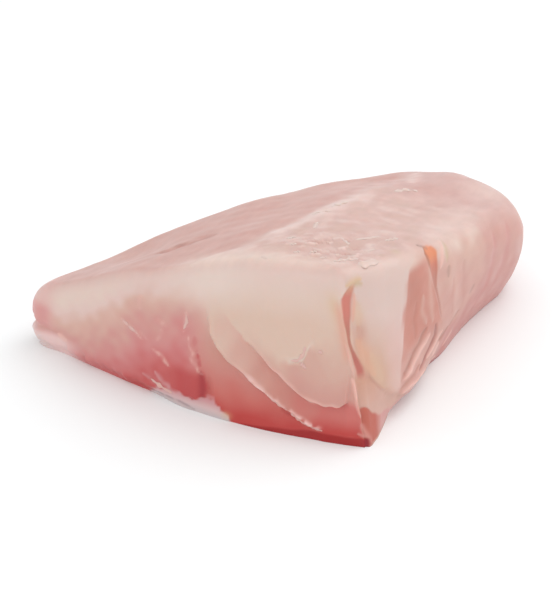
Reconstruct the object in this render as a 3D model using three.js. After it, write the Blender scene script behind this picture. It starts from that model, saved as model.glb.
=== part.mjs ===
import * as THREE from 'three';

// A raw portion of white fish fillet, lying on its skin side. Millimetres, +Z up.
// Places on the piece are told as (along, deep, z): along the cut face from the front
// corner, deep along the side face from the same corner, and z above the table.

const { clamp, degToRad, lerp, smoothstep } = THREE.MathUtils;

// Driving dimensions

const sideHeading = degToRad(62.2); // the side face in plan, from +X

// Corners of the plan outline, anticlockwise. ground is the skin side's edge and rim is
// where wall and top would meet. Each has a place, the length that the corner is eased
// over, and the bow of the side that leaves it. rounding and bulge belong to the wall.
// turnColumns stand round the eased corner, and columns along the side that leaves it.
const corners = [
  {
    name: 'front',
    ground: { along: -0.2, deep: -0.6, ease: 2, bow: 0 },
    rim: { along: 10.8, deep: 5.5, ease: 3, bow: 0.5 },
    rounding: 4.2,
    bulge: 0.3,
    turnColumns: 4,
    columns: 16,
    packing: 0,
  },
  {
    name: 'pillar',
    ground: { along: 0.7, deep: 12, ease: 8, bow: -2 },
    rim: { along: 2.6, deep: 22.5, ease: 6, bow: 1 },
    rounding: 4.8,
    bulge: 0.8,
    turnColumns: 4,
    columns: 42,
    packing: 0.6,
  },
  {
    name: 'back right',
    ground: { along: -0.3, deep: 93.4, ease: 11, bow: 0 },
    rim: { along: -5.2, deep: 93.2, ease: 16, bow: 0 },
    rounding: 8,
    bulge: 3.2,
    turnColumns: 8,
    columns: 3,
    packing: 0,
  },
  {
    name: 'back left',
    ground: { along: 27, deep: 101, ease: 16, bow: 2 },
    rim: { along: 26, deep: 99.5, ease: 14, bow: 0 },
    rounding: 9,
    bulge: 2.6,
    turnColumns: 8,
    columns: 18,
    packing: 0,
  },
  {
    name: 'tip, far',
    ground: { along: 99.8, deep: 7.2, ease: 4, bow: 0 },
    rim: { along: 99.6, deep: 6.5, ease: 3, bow: 0 },
    rounding: 5,
    bulge: 1.2,
    turnColumns: 4,
    columns: 3,
    packing: 0,
  },
  {
    name: 'tip, near',
    ground: { along: 96.5, deep: 1.2, ease: 4, bow: 6 },
    rim: { along: 97.5, deep: 2.2, ease: 3, bow: 2.4 },
    rounding: 4.5,
    bulge: 0.8,
    turnColumns: 4,
    columns: 52,
    packing: -0.5,
  },
];
const bowSkew = 1.2; // moves the fullest place of a bow towards the end of its side
const mostEase = 0.45; // of a side's length

// Top surface: a tilted, curved sheet with low swells and dips on it
const top = {
  cornerHeight: 44.2,
  fallAlong: 0.044,
  fallDeep: 0.172,
  curveAlong: 0.0026,
  curveDeep: 0.00042,
  twist: 0.0022,
};
const swells = [
  { along: 34, deep: 50, spanAlong: 16, spanDeep: 45, height: 2.2 },
  { along: 8, deep: 98, spanAlong: 20, spanDeep: 22, height: 2.4 },
  { along: 100, deep: 4, spanAlong: 10, spanDeep: 8, height: 1.5 },
  { along: 80, deep: 20, spanAlong: 13, spanDeep: 10, height: -1.8 },
  { along: 58, deep: 51, spanAlong: 6, spanDeep: 9, height: 1 },
  { along: 40, deep: 76, spanAlong: 7, spanDeep: 11, height: -1.1 },
  { along: 17.5, deep: 94, spanAlong: 5.5, spanDeep: 12, height: 1.3 },
];
const middle = { along: 36, deep: 36 }; // all columns meet above this place

const wallRows = 22;
const edgeRows = 4;
const topRows = 7;

// Flakes on the cut face: curved edges, each standing proud of the flesh below it. An edge
// runs level at its foot, rises steadily from turn on, sweeps up steeply at the crest, and
// its near end may turn up by a hook.
const flakeEdges = [
  {
    foot: 2.6,
    rise: 0.55,
    turn: 13.9,
    fold: 1.4,
    sweep: 9,
    hook: 0,
    proud: 0.9,
    ends: { from: 10, fullFrom: 15, fullTo: 42, to: 46 }, // along
  },
  {
    foot: 9.3,
    rise: 0.74,
    turn: 15.5,
    fold: 1.7,
    sweep: 0,
    hook: 1.3,
    proud: 1.1,
    ends: { from: 6, fullFrom: 7.5, fullTo: 27, to: 35 },
  },
];
const crestAlong = 44.5;
const crestBend = 2.2;
const hookAlong = { full: 6.9, none: 9.5 };
const flakeTop = { fullTo: 26, to: 33 }; // z
const flakeFadeAbove = 9;
const flakeFadeBelow = 4;
const flakeSink = 0.7; // the flesh below an edge sinks by this share of what stands proud
const flakeEdgeWidth = 0.9;

// Split down the front corner, wide near the top and again halfway, leaning over at its top
// end. left and right are its edges, told round the corner from the cut face to the pillar.
const frontReach = 34; // the corner's relief ends where along + deep passes this
const splitEdges = [
  { z: 15.6, left: 0.9, right: -2.2 },
  { z: 19, left: 0.8, right: -2.4 },
  { z: 22.1, left: 1.2, right: -0.9 },
  { z: 25.4, left: 1.9, right: 0.8 },
  { z: 28.7, left: 2, right: 0.3 },
  { z: 33.4, left: 2.3, right: -1.2 },
  { z: 36.8, left: 1.2, right: -2.6 },
  { z: 39.4, left: -2, right: -5 },
];
const cornerSplit = { depth: 0.9, fullWidth: 4, rows: { from: 15, fullFrom: 16.6, fullTo: 37.5, to: 40 } };
// Pillar of flesh beside the split. A sunk web of membrane lies under its lower edge, and
// a recess of the side face behind its far edge.
const web = { edge: 2.3, topZ: 23, sweep: 0.05, left: 1.4, depth: 0.6, head: { fullZ: 15, toZ: 19 } };
const pillarEdge = [
  { z: 0, deep: 17 },
  { z: 9.3, deep: 18.4 },
  { z: 23.4, deep: 20.1 },
  { z: 33.3, deep: 22.5 },
  { z: 36.8, deep: 25.2 },
  { z: 38.5, deep: 34 },
];
const recess = { depth: 0.8, fade: 9, rows: { from: 2, fullFrom: 9, fullTo: 34, to: 39 } };
const stepWidth = 0.9; // of the web's and the recess's edges

// Side face: a second split, which opens towards the top, and a ridge beyond it
const sideSplitLine = [
  { z: 13, deep: 41.4, half: 0.5 },
  { z: 16.1, deep: 39.8, half: 0.6 },
  { z: 21.6, deep: 37.5, half: 0.6 },
  { z: 26, deep: 35.9, half: 0.8 },
  { z: 29.5, deep: 35.6, half: 1.3 },
  { z: 33.6, deep: 35.3, half: 2.2 },
  { z: 35.1, deep: 35.6, half: 2.7 },
  { z: 37.2, deep: 35, half: 1.2 },
];
const sideSplit = { depth: 0.4, foot: { fromZ: 13, fullZ: 19 } };
const ridge = { deep: 43, z: 28, lean: 0.3, halfWidth: 3, height: 0.5, fromZ: 12, fullZ: 22 };
// Thin flakes low on the side face, in slanting rows
const fan = { deep: 18, slope: 0.36, pitch: 5.8, height: 0.2, topLine: 14, topSpan: 3 };
const fanEnds = { from: 18, fullFrom: 20, fullTo: 40, to: 56 }; // deep
const fanRows = { from: 0.5, fullFrom: 3, fullTo: 14, to: 20 }; // z
// Foot of the side face: how far it stands out. It draws in under a low lip of flesh that
// hangs over it, and further back the skin's edge stands out a little.
const footLine = [
  { deep: 0, out: 0.2 },
  { deep: 5, out: 0.4 },
  { deep: 9, out: -0.2 },
  { deep: 13, out: -1.1 },
  { deep: 18, out: -2.6 },
  { deep: 23, out: -3.7 },
  { deep: 29, out: -3.7 },
  { deep: 35, out: -2.4 },
  { deep: 42, out: -0.4 },
  { deep: 46, out: 0.3 },
  { deep: 50, out: 0.5 },
  { deep: 62, out: 0 },
];
const footRows = { fullZ: 0.2, toZ: 4 };
const lip = { height: 1.7, z: 6, halfHeight: 3.2, ends: { from: 8, fullFrom: 20, fullTo: 27, to: 46 } };

// Dark muscle lobe low on the cut face, with a crease at its inner end
const lobe = { along: 46.5, z: 7, halfLength: 4.8, halfHeight: 3.6, height: 0.5 };
const lobeCrease = { along: 41.3, halfWidth: 0.8, depth: 0.3 };
// Thin flap of belly lining under the blunt tip, parted from it by a notch
const flap = { fromAlong: 86, fullAlong: 95, notchZ: 6.4, notchHalfWidth: 1.5, notchDepth: 1.1 };
// Edge of the skin, showing below the lobe, and the foot drawn in beyond it
const skinLip = { z: 2.6, proud: 0.2, ends: { from: 34, fullFrom: 38, fullTo: 54, to: 61 } };
const tuck = { depth: 1.6, fullZ: 0.3, toZ: 3, ends: { from: 48, fullFrom: 60, fullTo: 92, to: 98 } };

// The far strip of the top lies a little lower than the middle, past a crest line at
// along = crestEnd + crestSwing * exp(-deep / crestFade)
const farStrip = { crestEnd: 28, crestSwing: 26, crestFade: 26, rise: 0.35, drop: 0.45, spread: 9 };
const farStripEnds = { from: 2, fullFrom: 8, fullTo: 76, to: 92 }; // deep
const crestWidth = 2;
const unevenness = 0.35;

const fleshColour = 0xdbb3a8;

// Plain form

const hump = (distance, span) => Math.exp(-((distance / span) ** 2));
const block = (distance, span) => Math.exp(-((distance / span) ** 4));
const arch = (t) => 4 * t * (1 - t); // 0 at both ends, 1 halfway
const within = (x, { from, fullFrom, fullTo, to }) =>
  smoothstep(x, from, fullFrom) * (1 - smoothstep(x, fullTo, to));

function topHeight({ along, deep }) {
  const sheet = top.cornerHeight - top.fallAlong * along - top.fallDeep * deep
    - top.curveAlong * along ** 2 - top.curveDeep * deep ** 2 + top.twist * along * deep;
  const raised = (sum, s) =>
    sum + s.height * hump(along - s.along, s.spanAlong) * hump(deep - s.deep, s.spanDeep);
  return swells.reduce(raised, sheet);
}

const between = (a, b, t) => ({ along: lerp(a.along, b.along, t), deep: lerp(a.deep, b.deep, t) });
const offset = (p, direction, by) => ({
  along: p.along + direction.along * by,
  deep: p.deep + direction.deep * by,
});

function bend(start, control, end, t) {
  return between(between(start, control, t), between(control, end, t), t);
}

function heading(from, to) {
  const along = to.along - from.along;
  const deep = to.deep - from.deep;
  const length = Math.hypot(along, deep);
  return { along: along / length, deep: deep / length, length };
}

// How far along its side each of a corner's columns stands, closer together at one end
function shares(corner) {
  return Array.from({ length: corner.columns }, (_, c) => {
    const even = c / corner.columns;
    return even * (1 - corner.packing + corner.packing * even);
  });
}

// One closed loop of plan places at the ground or at the rim: bowed sides, eased corners
function outline(level) {
  const places = [];
  corners.forEach((corner, i) => {
    const nextCorner = corners[(i + 1) % corners.length];
    const here = corner[level];
    const next = nextCorner[level];
    const afterNext = corners[(i + 2) % corners.length][level];
    const run = heading(here, next);
    const leave = heading(next, afterNext);
    const start = offset(here, run, Math.min(here.ease, mostEase * run.length));
    const end = offset(next, run, -Math.min(next.ease, mostEase * run.length));
    const turned = offset(next, leave, Math.min(next.ease, mostEase * leave.length));
    const outward = { along: -run.deep, deep: run.along };
    for (const t of shares(corner)) {
      places.push(offset(between(start, end, t), outward, here.bow * arch(t ** bowSkew)));
    }
    for (let c = 0; c < nextCorner.turnColumns; c++) {
      places.push(bend(end, next, turned, c / nextCorner.turnColumns));
    }
  });
  return places;
}

// A value told at the corners, carried linearly along the sides
function carried(key) {
  const values = [];
  corners.forEach((corner, i) => {
    const next = corners[(i + 1) % corners.length];
    for (const t of shares(corner)) {
      values.push(lerp(corner[key], next[key], t));
    }
    for (let c = 0; c < next.turnColumns; c++) {
      values.push(next[key]);
    }
  });
  return values;
}

// Values told at a few stops along one of them, carried linearly between the stops
function atStop(stops, axis, value) {
  const next = stops.findIndex((stop) => stop[axis] >= value);
  if (next < 1) {
    return stops.at(next);
  }
  const low = stops[next - 1];
  const high = stops[next];
  const t = (value - low[axis]) / (high[axis] - low[axis]);
  return Object.fromEntries(Object.keys(low).map((key) => [key, lerp(low[key], high[key], t)]));
}

// Relief: how far the flesh stands out from the plain form

function flakeRelief(p, face) {
  const curl = Math.exp((Math.min(p.along, crestAlong + crestBend) - crestAlong) / crestBend);
  const low = 1 - smoothstep(p.z, flakeTop.fullTo, flakeTop.to);
  return flakeEdges.reduce((sum, edge) => {
    const turned = Math.exp((p.along - edge.turn) / edge.fold);
    const hook = edge.hook * (1 - smoothstep(p.along, hookAlong.full, hookAlong.none));
    const edgeZ = edge.foot + edge.rise * edge.fold * Math.log1p(turned) + edge.sweep * curl + hook;
    const slope = (edge.rise * turned) / (1 + turned) + (edge.sweep / crestBend) * curl;
    const gap = (p.z - edgeZ) / Math.hypot(1, slope);
    const fade = gap > 0 ? Math.exp(-gap / flakeFadeAbove) : -flakeSink * Math.exp(gap / flakeFadeBelow);
    const soft = Math.tanh(Math.abs(gap) / flakeEdgeWidth);
    return sum + face.cut * edge.proud * fade * soft * low * within(p.along, edge.ends);
  }, 0);
}

// Signed distance round the front corner: positive on the cut face, negative past it
function pastCorner(p) {
  const { ground, rim } = corners[0];
  const share = p.z / top.cornerHeight;
  return p.along - lerp(ground.along, rim.along, share) - (p.deep - lerp(ground.deep, rim.deep, share));
}

function cornerRelief(p, face) {
  const s = pastCorner(p);
  const { left, right } = atStop(splitEdges, 'z', p.z);
  const aside = Math.abs(s - (left + right) / 2) / ((left - right) / 2);
  const deepest = cornerSplit.depth * clamp((left - right) / cornerSplit.fullWidth, 0.25, 1);
  const split = deepest * (1 - smoothstep(aside, 0.2, 1.25)) * within(p.z, cornerSplit.rows);
  const edge = -web.edge - web.sweep * Math.max(web.topZ - p.z, 0) ** 2;
  const sunk = smoothstep(s, edge - stepWidth, edge + stepWidth)
    * (1 - smoothstep(s, web.left - stepWidth, web.left + stepWidth))
    * (1 - smoothstep(p.z, web.head.fullZ, web.head.toZ));
  return -face.front * (1 - face.lift) * (split + web.depth * sunk);
}

function sideRelief(p, face) {
  const behind = p.deep - atStop(pillarEdge, 'z', p.z).deep;
  const hollow = recess.depth * smoothstep(behind, -stepWidth, stepWidth)
    * Math.exp(-Math.max(behind, 0) / recess.fade) * within(p.z, recess.rows);
  const line = atStop(sideSplitLine, 'z', p.z);
  const split = sideSplit.depth * smoothstep(p.z, sideSplit.foot.fromZ, sideSplit.foot.fullZ)
    * (1 - smoothstep(Math.abs(p.deep - line.deep) / line.half, 0.4, 1.4));
  const raised = ridge.height * hump(p.deep - ridge.deep + ridge.lean * (p.z - ridge.z), ridge.halfWidth)
    * smoothstep(p.z, ridge.fromZ, ridge.fullZ);
  const foot = atStop(footLine, 'deep', p.deep).out * (1 - smoothstep(p.z, footRows.fullZ, footRows.toZ));
  const hanging = lip.height * hump(p.z - lip.z, lip.halfHeight) * within(p.deep, lip.ends);
  return face.side * (raised - hollow - split + fanRelief(p) + foot + hanging);
}

function fanRelief(p) {
  const line = p.z - fan.slope * (p.deep - fan.deep);
  const wave = Math.sin((2 * Math.PI * line) / fan.pitch);
  const low = 1 - smoothstep(line, fan.topLine - fan.topSpan, fan.topLine);
  return fan.height * wave * low * within(p.deep, fanEnds) * within(p.z, fanRows);
}

function lowRelief(p, face) {
  const lobeRows = block(p.z - lobe.z, lobe.halfHeight);
  const muscle = lobe.height * block(p.along - lobe.along, lobe.halfLength) * lobeRows;
  const crease = lobeCrease.depth * hump(p.along - lobeCrease.along, lobeCrease.halfWidth) * lobeRows;
  const skin = skinLip.proud * (1 - smoothstep(p.z, 0.5 * skinLip.z, 1.5 * skinLip.z))
    * within(p.along, skinLip.ends);
  const notch = flap.notchDepth * hump(p.z - flap.notchZ, flap.notchHalfWidth)
    * smoothstep(p.along, flap.fromAlong, flap.fullAlong);
  const drawnIn = tuck.depth * (1 - smoothstep(p.z, tuck.fullZ, tuck.toZ)) * within(p.along, tuck.ends);
  return face.cut * (muscle - crease + skin) - (1 - face.lift) * (notch + drawnIn);
}

function topRelief(p, face) {
  const swing = Math.exp(-Math.max(p.deep, 0) / farStrip.crestFade);
  const past = p.along - farStrip.crestEnd - farStrip.crestSwing * swing;
  const fade = Math.exp(-Math.abs(past) / farStrip.spread) * Math.tanh(Math.abs(past) / crestWidth);
  const step = past < 0 ? farStrip.rise : -farStrip.drop;
  return face.lift * within(p.deep, farStripEnds) * fade * step;
}

function wavyRelief(p) {
  const long = Math.sin(p.along / 7.1 + 0.6) * Math.sin(p.deep / 8.3 + 1.1) * Math.cos(p.z / 9);
  const short = Math.sin(p.along / 3.7 + p.deep / 5.1) * Math.cos(p.z / 5.3 + p.deep / 11);
  return unevenness * (long + 0.6 * short) * smoothstep(p.z, 0, 4);
}

const reliefs = [flakeRelief, cornerRelief, sideRelief, lowRelief, topRelief, wavyRelief];

// The finished surface: rows of points from the ground up, each row one closed loop

function surfaceRows() {
  const ground = outline('ground');
  const rim = outline('rim');
  const rounding = carried('rounding');
  const bulge = carried('bulge');
  const count = ground.length;
  const columns = ground.map((foot, i) => {
    const tangent = heading(ground[(i + count - 1) % count], ground[(i + 1) % count]);
    const normal = { along: -tangent.deep, deep: tangent.along };
    const outward = heading(middle, between(foot, rim[i], 0.5));
    const height = topHeight(rim[i]);
    const round = Math.min(rounding[i], 0.4 * height);
    const inner = offset(rim[i], heading(rim[i], middle), round);
    const cut = smoothstep(-normal.deep, 0.35, 0.8);
    const side = smoothstep(-normal.along, 0.55, 0.9);
    return { foot, rim: rim[i], normal, outward, height, round, bulge: bulge[i], inner, cut, side };
  });

  const wallPoint = (c, t) => ({
    ...offset(between(c.foot, c.rim, t), c.normal, c.bulge * arch(t)),
    z: c.height * t,
  });
  const plainPoint = (c, row) => {
    const wallTop = 1 - c.round / c.height;
    if (row <= wallRows) {
      return { ...wallPoint(c, (wallTop * row) / wallRows), lift: 0 };
    }
    if (row <= wallRows + edgeRows) {
      const t = (row - wallRows) / edgeRows;
      const wall = wallPoint(c, wallTop);
      const z = lerp(lerp(wall.z, c.height, t), lerp(c.height, topHeight(c.inner), t), t);
      return { ...bend(wall, c.rim, c.inner, t), z, lift: t };
    }
    const p = between(c.inner, middle, (row - wallRows - edgeRows) / topRows);
    return { ...p, z: topHeight(p), lift: 1 };
  };
  const carvedPoint = (c, row) => {
    const p = plainPoint(c, row);
    const face = {
      lift: p.lift,
      cut: c.cut * (1 - p.lift),
      side: c.side * (1 - smoothstep(p.lift, 0.5, 1)),
      front: 1 - smoothstep(p.along + p.deep, frontReach - 10, frontReach),
    };
    const raised = reliefs.reduce((sum, relief) => sum + relief(p, face), 0);
    const up = smoothstep(p.lift, 0, 1);
    const share = raised / Math.hypot(1 - up, up);
    return { ...offset(p, c.outward, share * (1 - up)), z: p.z + share * up };
  };
  const rows = [];
  for (let row = 0; row < wallRows + edgeRows + topRows; row++) {
    rows.push(columns.map((c) => carvedPoint(c, row)));
  }
  const apex = carvedPoint(columns[0], wallRows + edgeRows + topRows);
  return { rows, apex };
}

// Rows joined to one closed body: flat skin side below, walls, top closed at the apex
function filletGeometry() {
  const { rows, apex } = surfaceRows();
  const count = rows[0].length;
  const points = [...rows.flat(), apex, { ...middle, z: 0 }];
  const apexIndex = points.length - 2;
  const baseIndex = points.length - 1;
  const positions = points.flatMap((p) => [
    p.deep * Math.cos(sideHeading) - p.along * Math.sin(sideHeading),
    p.deep * Math.sin(sideHeading) + p.along * Math.cos(sideHeading),
    p.z,
  ]);
  const triangles = [];
  const lastRow = (rows.length - 1) * count;
  // facets follow the flakes from this column on
  const firstCutColumn = count - corners.at(-1).columns - corners[0].turnColumns;
  for (let c = 0; c < count; c++) {
    const next = (c + 1) % count;
    triangles.push(baseIndex, next, c);
    for (let low = 0; low < lastRow; low += count) {
      const high = low + count;
      if (c < firstCutColumn) {
        triangles.push(low + c, low + next, high + next);
        triangles.push(low + c, high + next, high + c);
      } else {
        triangles.push(low + c, low + next, high + c);
        triangles.push(low + next, high + next, high + c);
      }
    }
    triangles.push(lastRow + c, lastRow + next, apexIndex);
  }
  const geometry = new THREE.BufferGeometry();
  geometry.setAttribute('position', new THREE.Float32BufferAttribute(positions, 3));
  geometry.setIndex(triangles);
  geometry.computeBoundingBox();
  const { min, max } = geometry.boundingBox;
  geometry.translate(-(min.x + max.x) / 2, -(min.y + max.y) / 2, -min.z); // origin under the middle
  geometry.computeVertexNormals();
  return geometry;
}

const flesh = new THREE.MeshStandardMaterial({ color: fleshColour, roughness: 0.42, metalness: 0 });
const fillet = new THREE.Mesh(filletGeometry(), flesh);
fillet.name = 'fillet';

const portion = new THREE.Group();
portion.add(fillet);

export default portion;
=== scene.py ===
import math
from types import SimpleNamespace

import bpy
import numpy as np
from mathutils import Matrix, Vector


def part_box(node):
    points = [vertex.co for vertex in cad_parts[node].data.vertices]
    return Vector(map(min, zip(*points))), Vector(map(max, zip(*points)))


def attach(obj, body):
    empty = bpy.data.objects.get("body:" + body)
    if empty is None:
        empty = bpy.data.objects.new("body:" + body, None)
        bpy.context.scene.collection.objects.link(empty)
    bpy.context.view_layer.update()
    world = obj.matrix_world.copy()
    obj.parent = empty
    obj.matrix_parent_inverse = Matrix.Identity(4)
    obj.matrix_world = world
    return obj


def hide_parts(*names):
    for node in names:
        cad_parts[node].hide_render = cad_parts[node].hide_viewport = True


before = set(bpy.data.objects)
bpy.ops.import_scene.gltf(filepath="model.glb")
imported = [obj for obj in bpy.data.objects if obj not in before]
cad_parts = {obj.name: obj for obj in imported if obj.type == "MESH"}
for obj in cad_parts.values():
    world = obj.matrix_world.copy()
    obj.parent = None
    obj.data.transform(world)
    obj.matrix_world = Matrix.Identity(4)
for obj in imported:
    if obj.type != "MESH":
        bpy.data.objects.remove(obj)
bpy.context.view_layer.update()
mm = 0.001


def addObject(name, data):
    piece = bpy.data.objects.new(name, data)
    bpy.context.scene.collection.objects.link(piece)
    return piece


# Camera, above the table and looking along +Y

cameraSet = {
    "target": (-1.9, 20.64, 0),  # mm, the table point in the middle of the picture
    "elevation": 30,
    "distance": 462,
    "focalPixels": 1680,
    "pictureHeight": 600,
    "sensor": 36,
}


def makeCamera(c):
    tilt = math.radians(c["elevation"])
    back = Vector((0, -math.cos(tilt), math.sin(tilt)))
    data = bpy.data.cameras.new("camera")
    data.sensor_width = c["sensor"]
    data.lens = c["focalPixels"] * c["sensor"] / c["pictureHeight"]
    data.clip_start = 0.01
    camera = addObject("camera", data)
    camera.location = (Vector(c["target"]) + back * c["distance"]) * mm
    camera.rotation_mode = "QUATERNION"
    camera.rotation_quaternion = (-back).to_track_quat("-Z", "Y")
    bpy.context.scene.camera = camera


makeCamera(cameraSet)
print("camera placed")


# Curves that the surfaces are made of

def rise(x, low, high):  # 0 below low, 1 above high, smooth between
    t = np.clip((x - low) / (high - low), 0, 1)
    return t * t * (3 - 2 * t)


def fall(x, low, high):  # 1 below low, 0 above high
    return 1 - rise(x, low, high)


def hump(x, span):  # bell of height 1
    return np.exp(-((x / span) ** 2))


def bell(x, middle, span):
    return hump(x - middle, span)


def block(x, span):  # flat-topped bell
    return np.exp(-((x / span) ** 4))


def window(x, low, fullLow, fullHigh, high):  # up to 1, level, and down again
    return rise(x, low, fullLow) * fall(x, fullHigh, high)


def arch(t):  # parabola, 0 at both ends and 1 in the middle
    return 4 * t * (1 - t)


def waves(size, seed, *axes, count=20):
    # sum of cosines in random directions, each about size long, scaled to a spread of 1
    rng = np.random.default_rng(seed)
    total = 0
    for _ in range(count):
        direction = rng.normal(size=len(axes))
        direction *= rng.uniform(0.7, 1.4) * 2 * math.pi / size / np.linalg.norm(direction)
        phase = rng.uniform(0, 2 * math.pi)
        total = total + np.cos(sum(d * x for d, x in zip(direction, axes)) + phase)
    return total / math.sqrt(count / 2)


def nearSegment(x, y, start, end):
    # distance from (x, y) to a straight stretch, and the share of the way along it
    dx, dy = end[0] - start[0], end[1] - start[1]
    share = np.clip(((x - start[0]) * dx + (y - start[1]) * dy) / (dx * dx + dy * dy), 0, 1)
    return np.hypot(x - start[0] - share * dx, y - start[1] - share * dy), share


def strokeShare(x, y, points, half):
    # 1 on a bent line and a bell to its sides, thinner towards both ends
    lengths = [math.dist(a, b) for a, b in zip(points, points[1:])]
    share, gone = 0, 0
    for start, end, length in zip(points, points[1:], lengths):
        away, part = nearSegment(x, y, start, end)
        way = (gone + part * length) / sum(lengths)
        share = np.maximum(share, hump(away, half * (0.3 + 0.7 * np.sqrt(arch(way)))))
        gone += length
    return share


def strokeHeight(strokes, shares):
    # sum of the strokes, each times its own height
    return sum(stroke[4] * share for stroke, share in zip(strokes, shares))


def edgeStep(gap, fadeAbove, fadeBelow, sink, width):
    # stands out above an edge and sinks below it, both fading as exp(-distance / fade); tanh between
    above = np.exp(-np.maximum(gap, 0) / fadeAbove)
    below = -sink * np.exp(np.minimum(gap, 0) / fadeBelow)
    return np.where(gap > 0, above, below) * np.tanh(np.abs(gap) / width)


# Plain form. along runs on the cut face from the front corner, deep on the side face from
# the same corner, z up, all in mm. Corners: front, pillar, back right, back left, far tip, near tip.

form = {
    "heading": 62.2,  # side face in plan, degrees from +X
    "ground": [(-0.2, -0.6), (0.7, 12), (-0.3, 93.4), (27, 101), (99.8, 7.2), (96.5, 1.2)],
    "groundEase": [2, 8, 11, 16, 4, 4],
    "groundBow": [0, -2, 0, 2, 0, 6],
    "rim": [(10.8, 5.5), (2.6, 22.5), (-5.2, 93.2), (26, 99.5), (99.6, 6.5), (97.5, 2.2)],
    "rimEase": [3, 6, 16, 14, 3, 3],
    "rimBow": [0.5, 1, 0, 0, 0, 2.4],
    "rounding": [4.2, 4.8, 8, 9, 5, 4.5],
    "bulge": [0.3, 0.8, 3.2, 2.6, 1.2, 0.8],
    "columns": [32, 134, 11, 46, 8, 206],
    "packing": [0, 0.6, 0, 0, 0, -0.5],  # columns closer together at one end
    "turnColumns": [8, 10, 11, 6, 8, 30],  # round the corner that ends each side
    "bowSkew": 1.2,
    "mostEase": 0.45,  # of a side's length
    "mostRounding": 0.4,  # of the height
    "middle": (36, 36),  # all columns meet above and below this place
    "footRows": 8,
    "wallRows": 124,
    "edgeRows": 14,
    "topRows": 44,
    "cornerHeight": 44.2,
    "swells": [(34, 50, 16, 45, 2.2), (8, 98, 20, 22, 2.4), (100, 4, 10, 8, 1.5), (80, 20, 13, 10, -1.8),
               (58, 51, 6, 9, 1), (40, 76, 7, 11, -1.1), (17.5, 94, 5.5, 12, 1.3)],
}


def topHeight(along, deep):
    # tilted sheet, curved both ways and twisted, plus bell-shaped swells
    z = form["cornerHeight"] - 0.044 * along - 0.172 * deep
    z = z - 0.0026 * along ** 2 - 0.00042 * deep ** 2 + 0.0022 * along * deep
    for a, d, spanA, spanD, height in form["swells"]:
        z = z + height * hump(along - a, spanA) * hump(deep - d, spanD)
    return z


def outlineLoop(corners, ease, bow):
    # each side runs straight between its eased corners and bows out; each corner is a quadratic curve
    f = form
    corners = np.array(corners, float)
    count = len(corners)
    parts, stations = [], []
    for i in range(count):
        turn = (np.arange(f["turnColumns"][i]) / f["turnColumns"][i])[:, None]
        here, there, beyond = corners[i], corners[(i + 1) % count], corners[(i + 2) % count]
        run, leave = there - here, beyond - there
        runLength, leaveLength = np.hypot(*run), np.hypot(*leave)
        nextEase = ease[(i + 1) % count]
        start = here + run * min(ease[i] / runLength, f["mostEase"])
        end = there - run * min(nextEase / runLength, f["mostEase"])
        turned = there + leave * min(nextEase / leaveLength, f["mostEase"])
        outward = np.array([-run[1], run[0]]) / runLength
        even = np.arange(f["columns"][i]) / f["columns"][i]
        share = (even * (1 - f["packing"][i] + f["packing"][i] * even))[:, None]
        parts.append(start + (end - start) * share + outward * bow[i] * arch(share ** f["bowSkew"]))
        parts.append(end * (1 - turn) ** 2 + there * 2 * turn * (1 - turn) + turned * turn ** 2)
        stations.append(i + share[:, 0])
        stations.append(np.full(len(turn), i + 1))
    return np.concatenate(parts), np.concatenate(stations)


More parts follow.
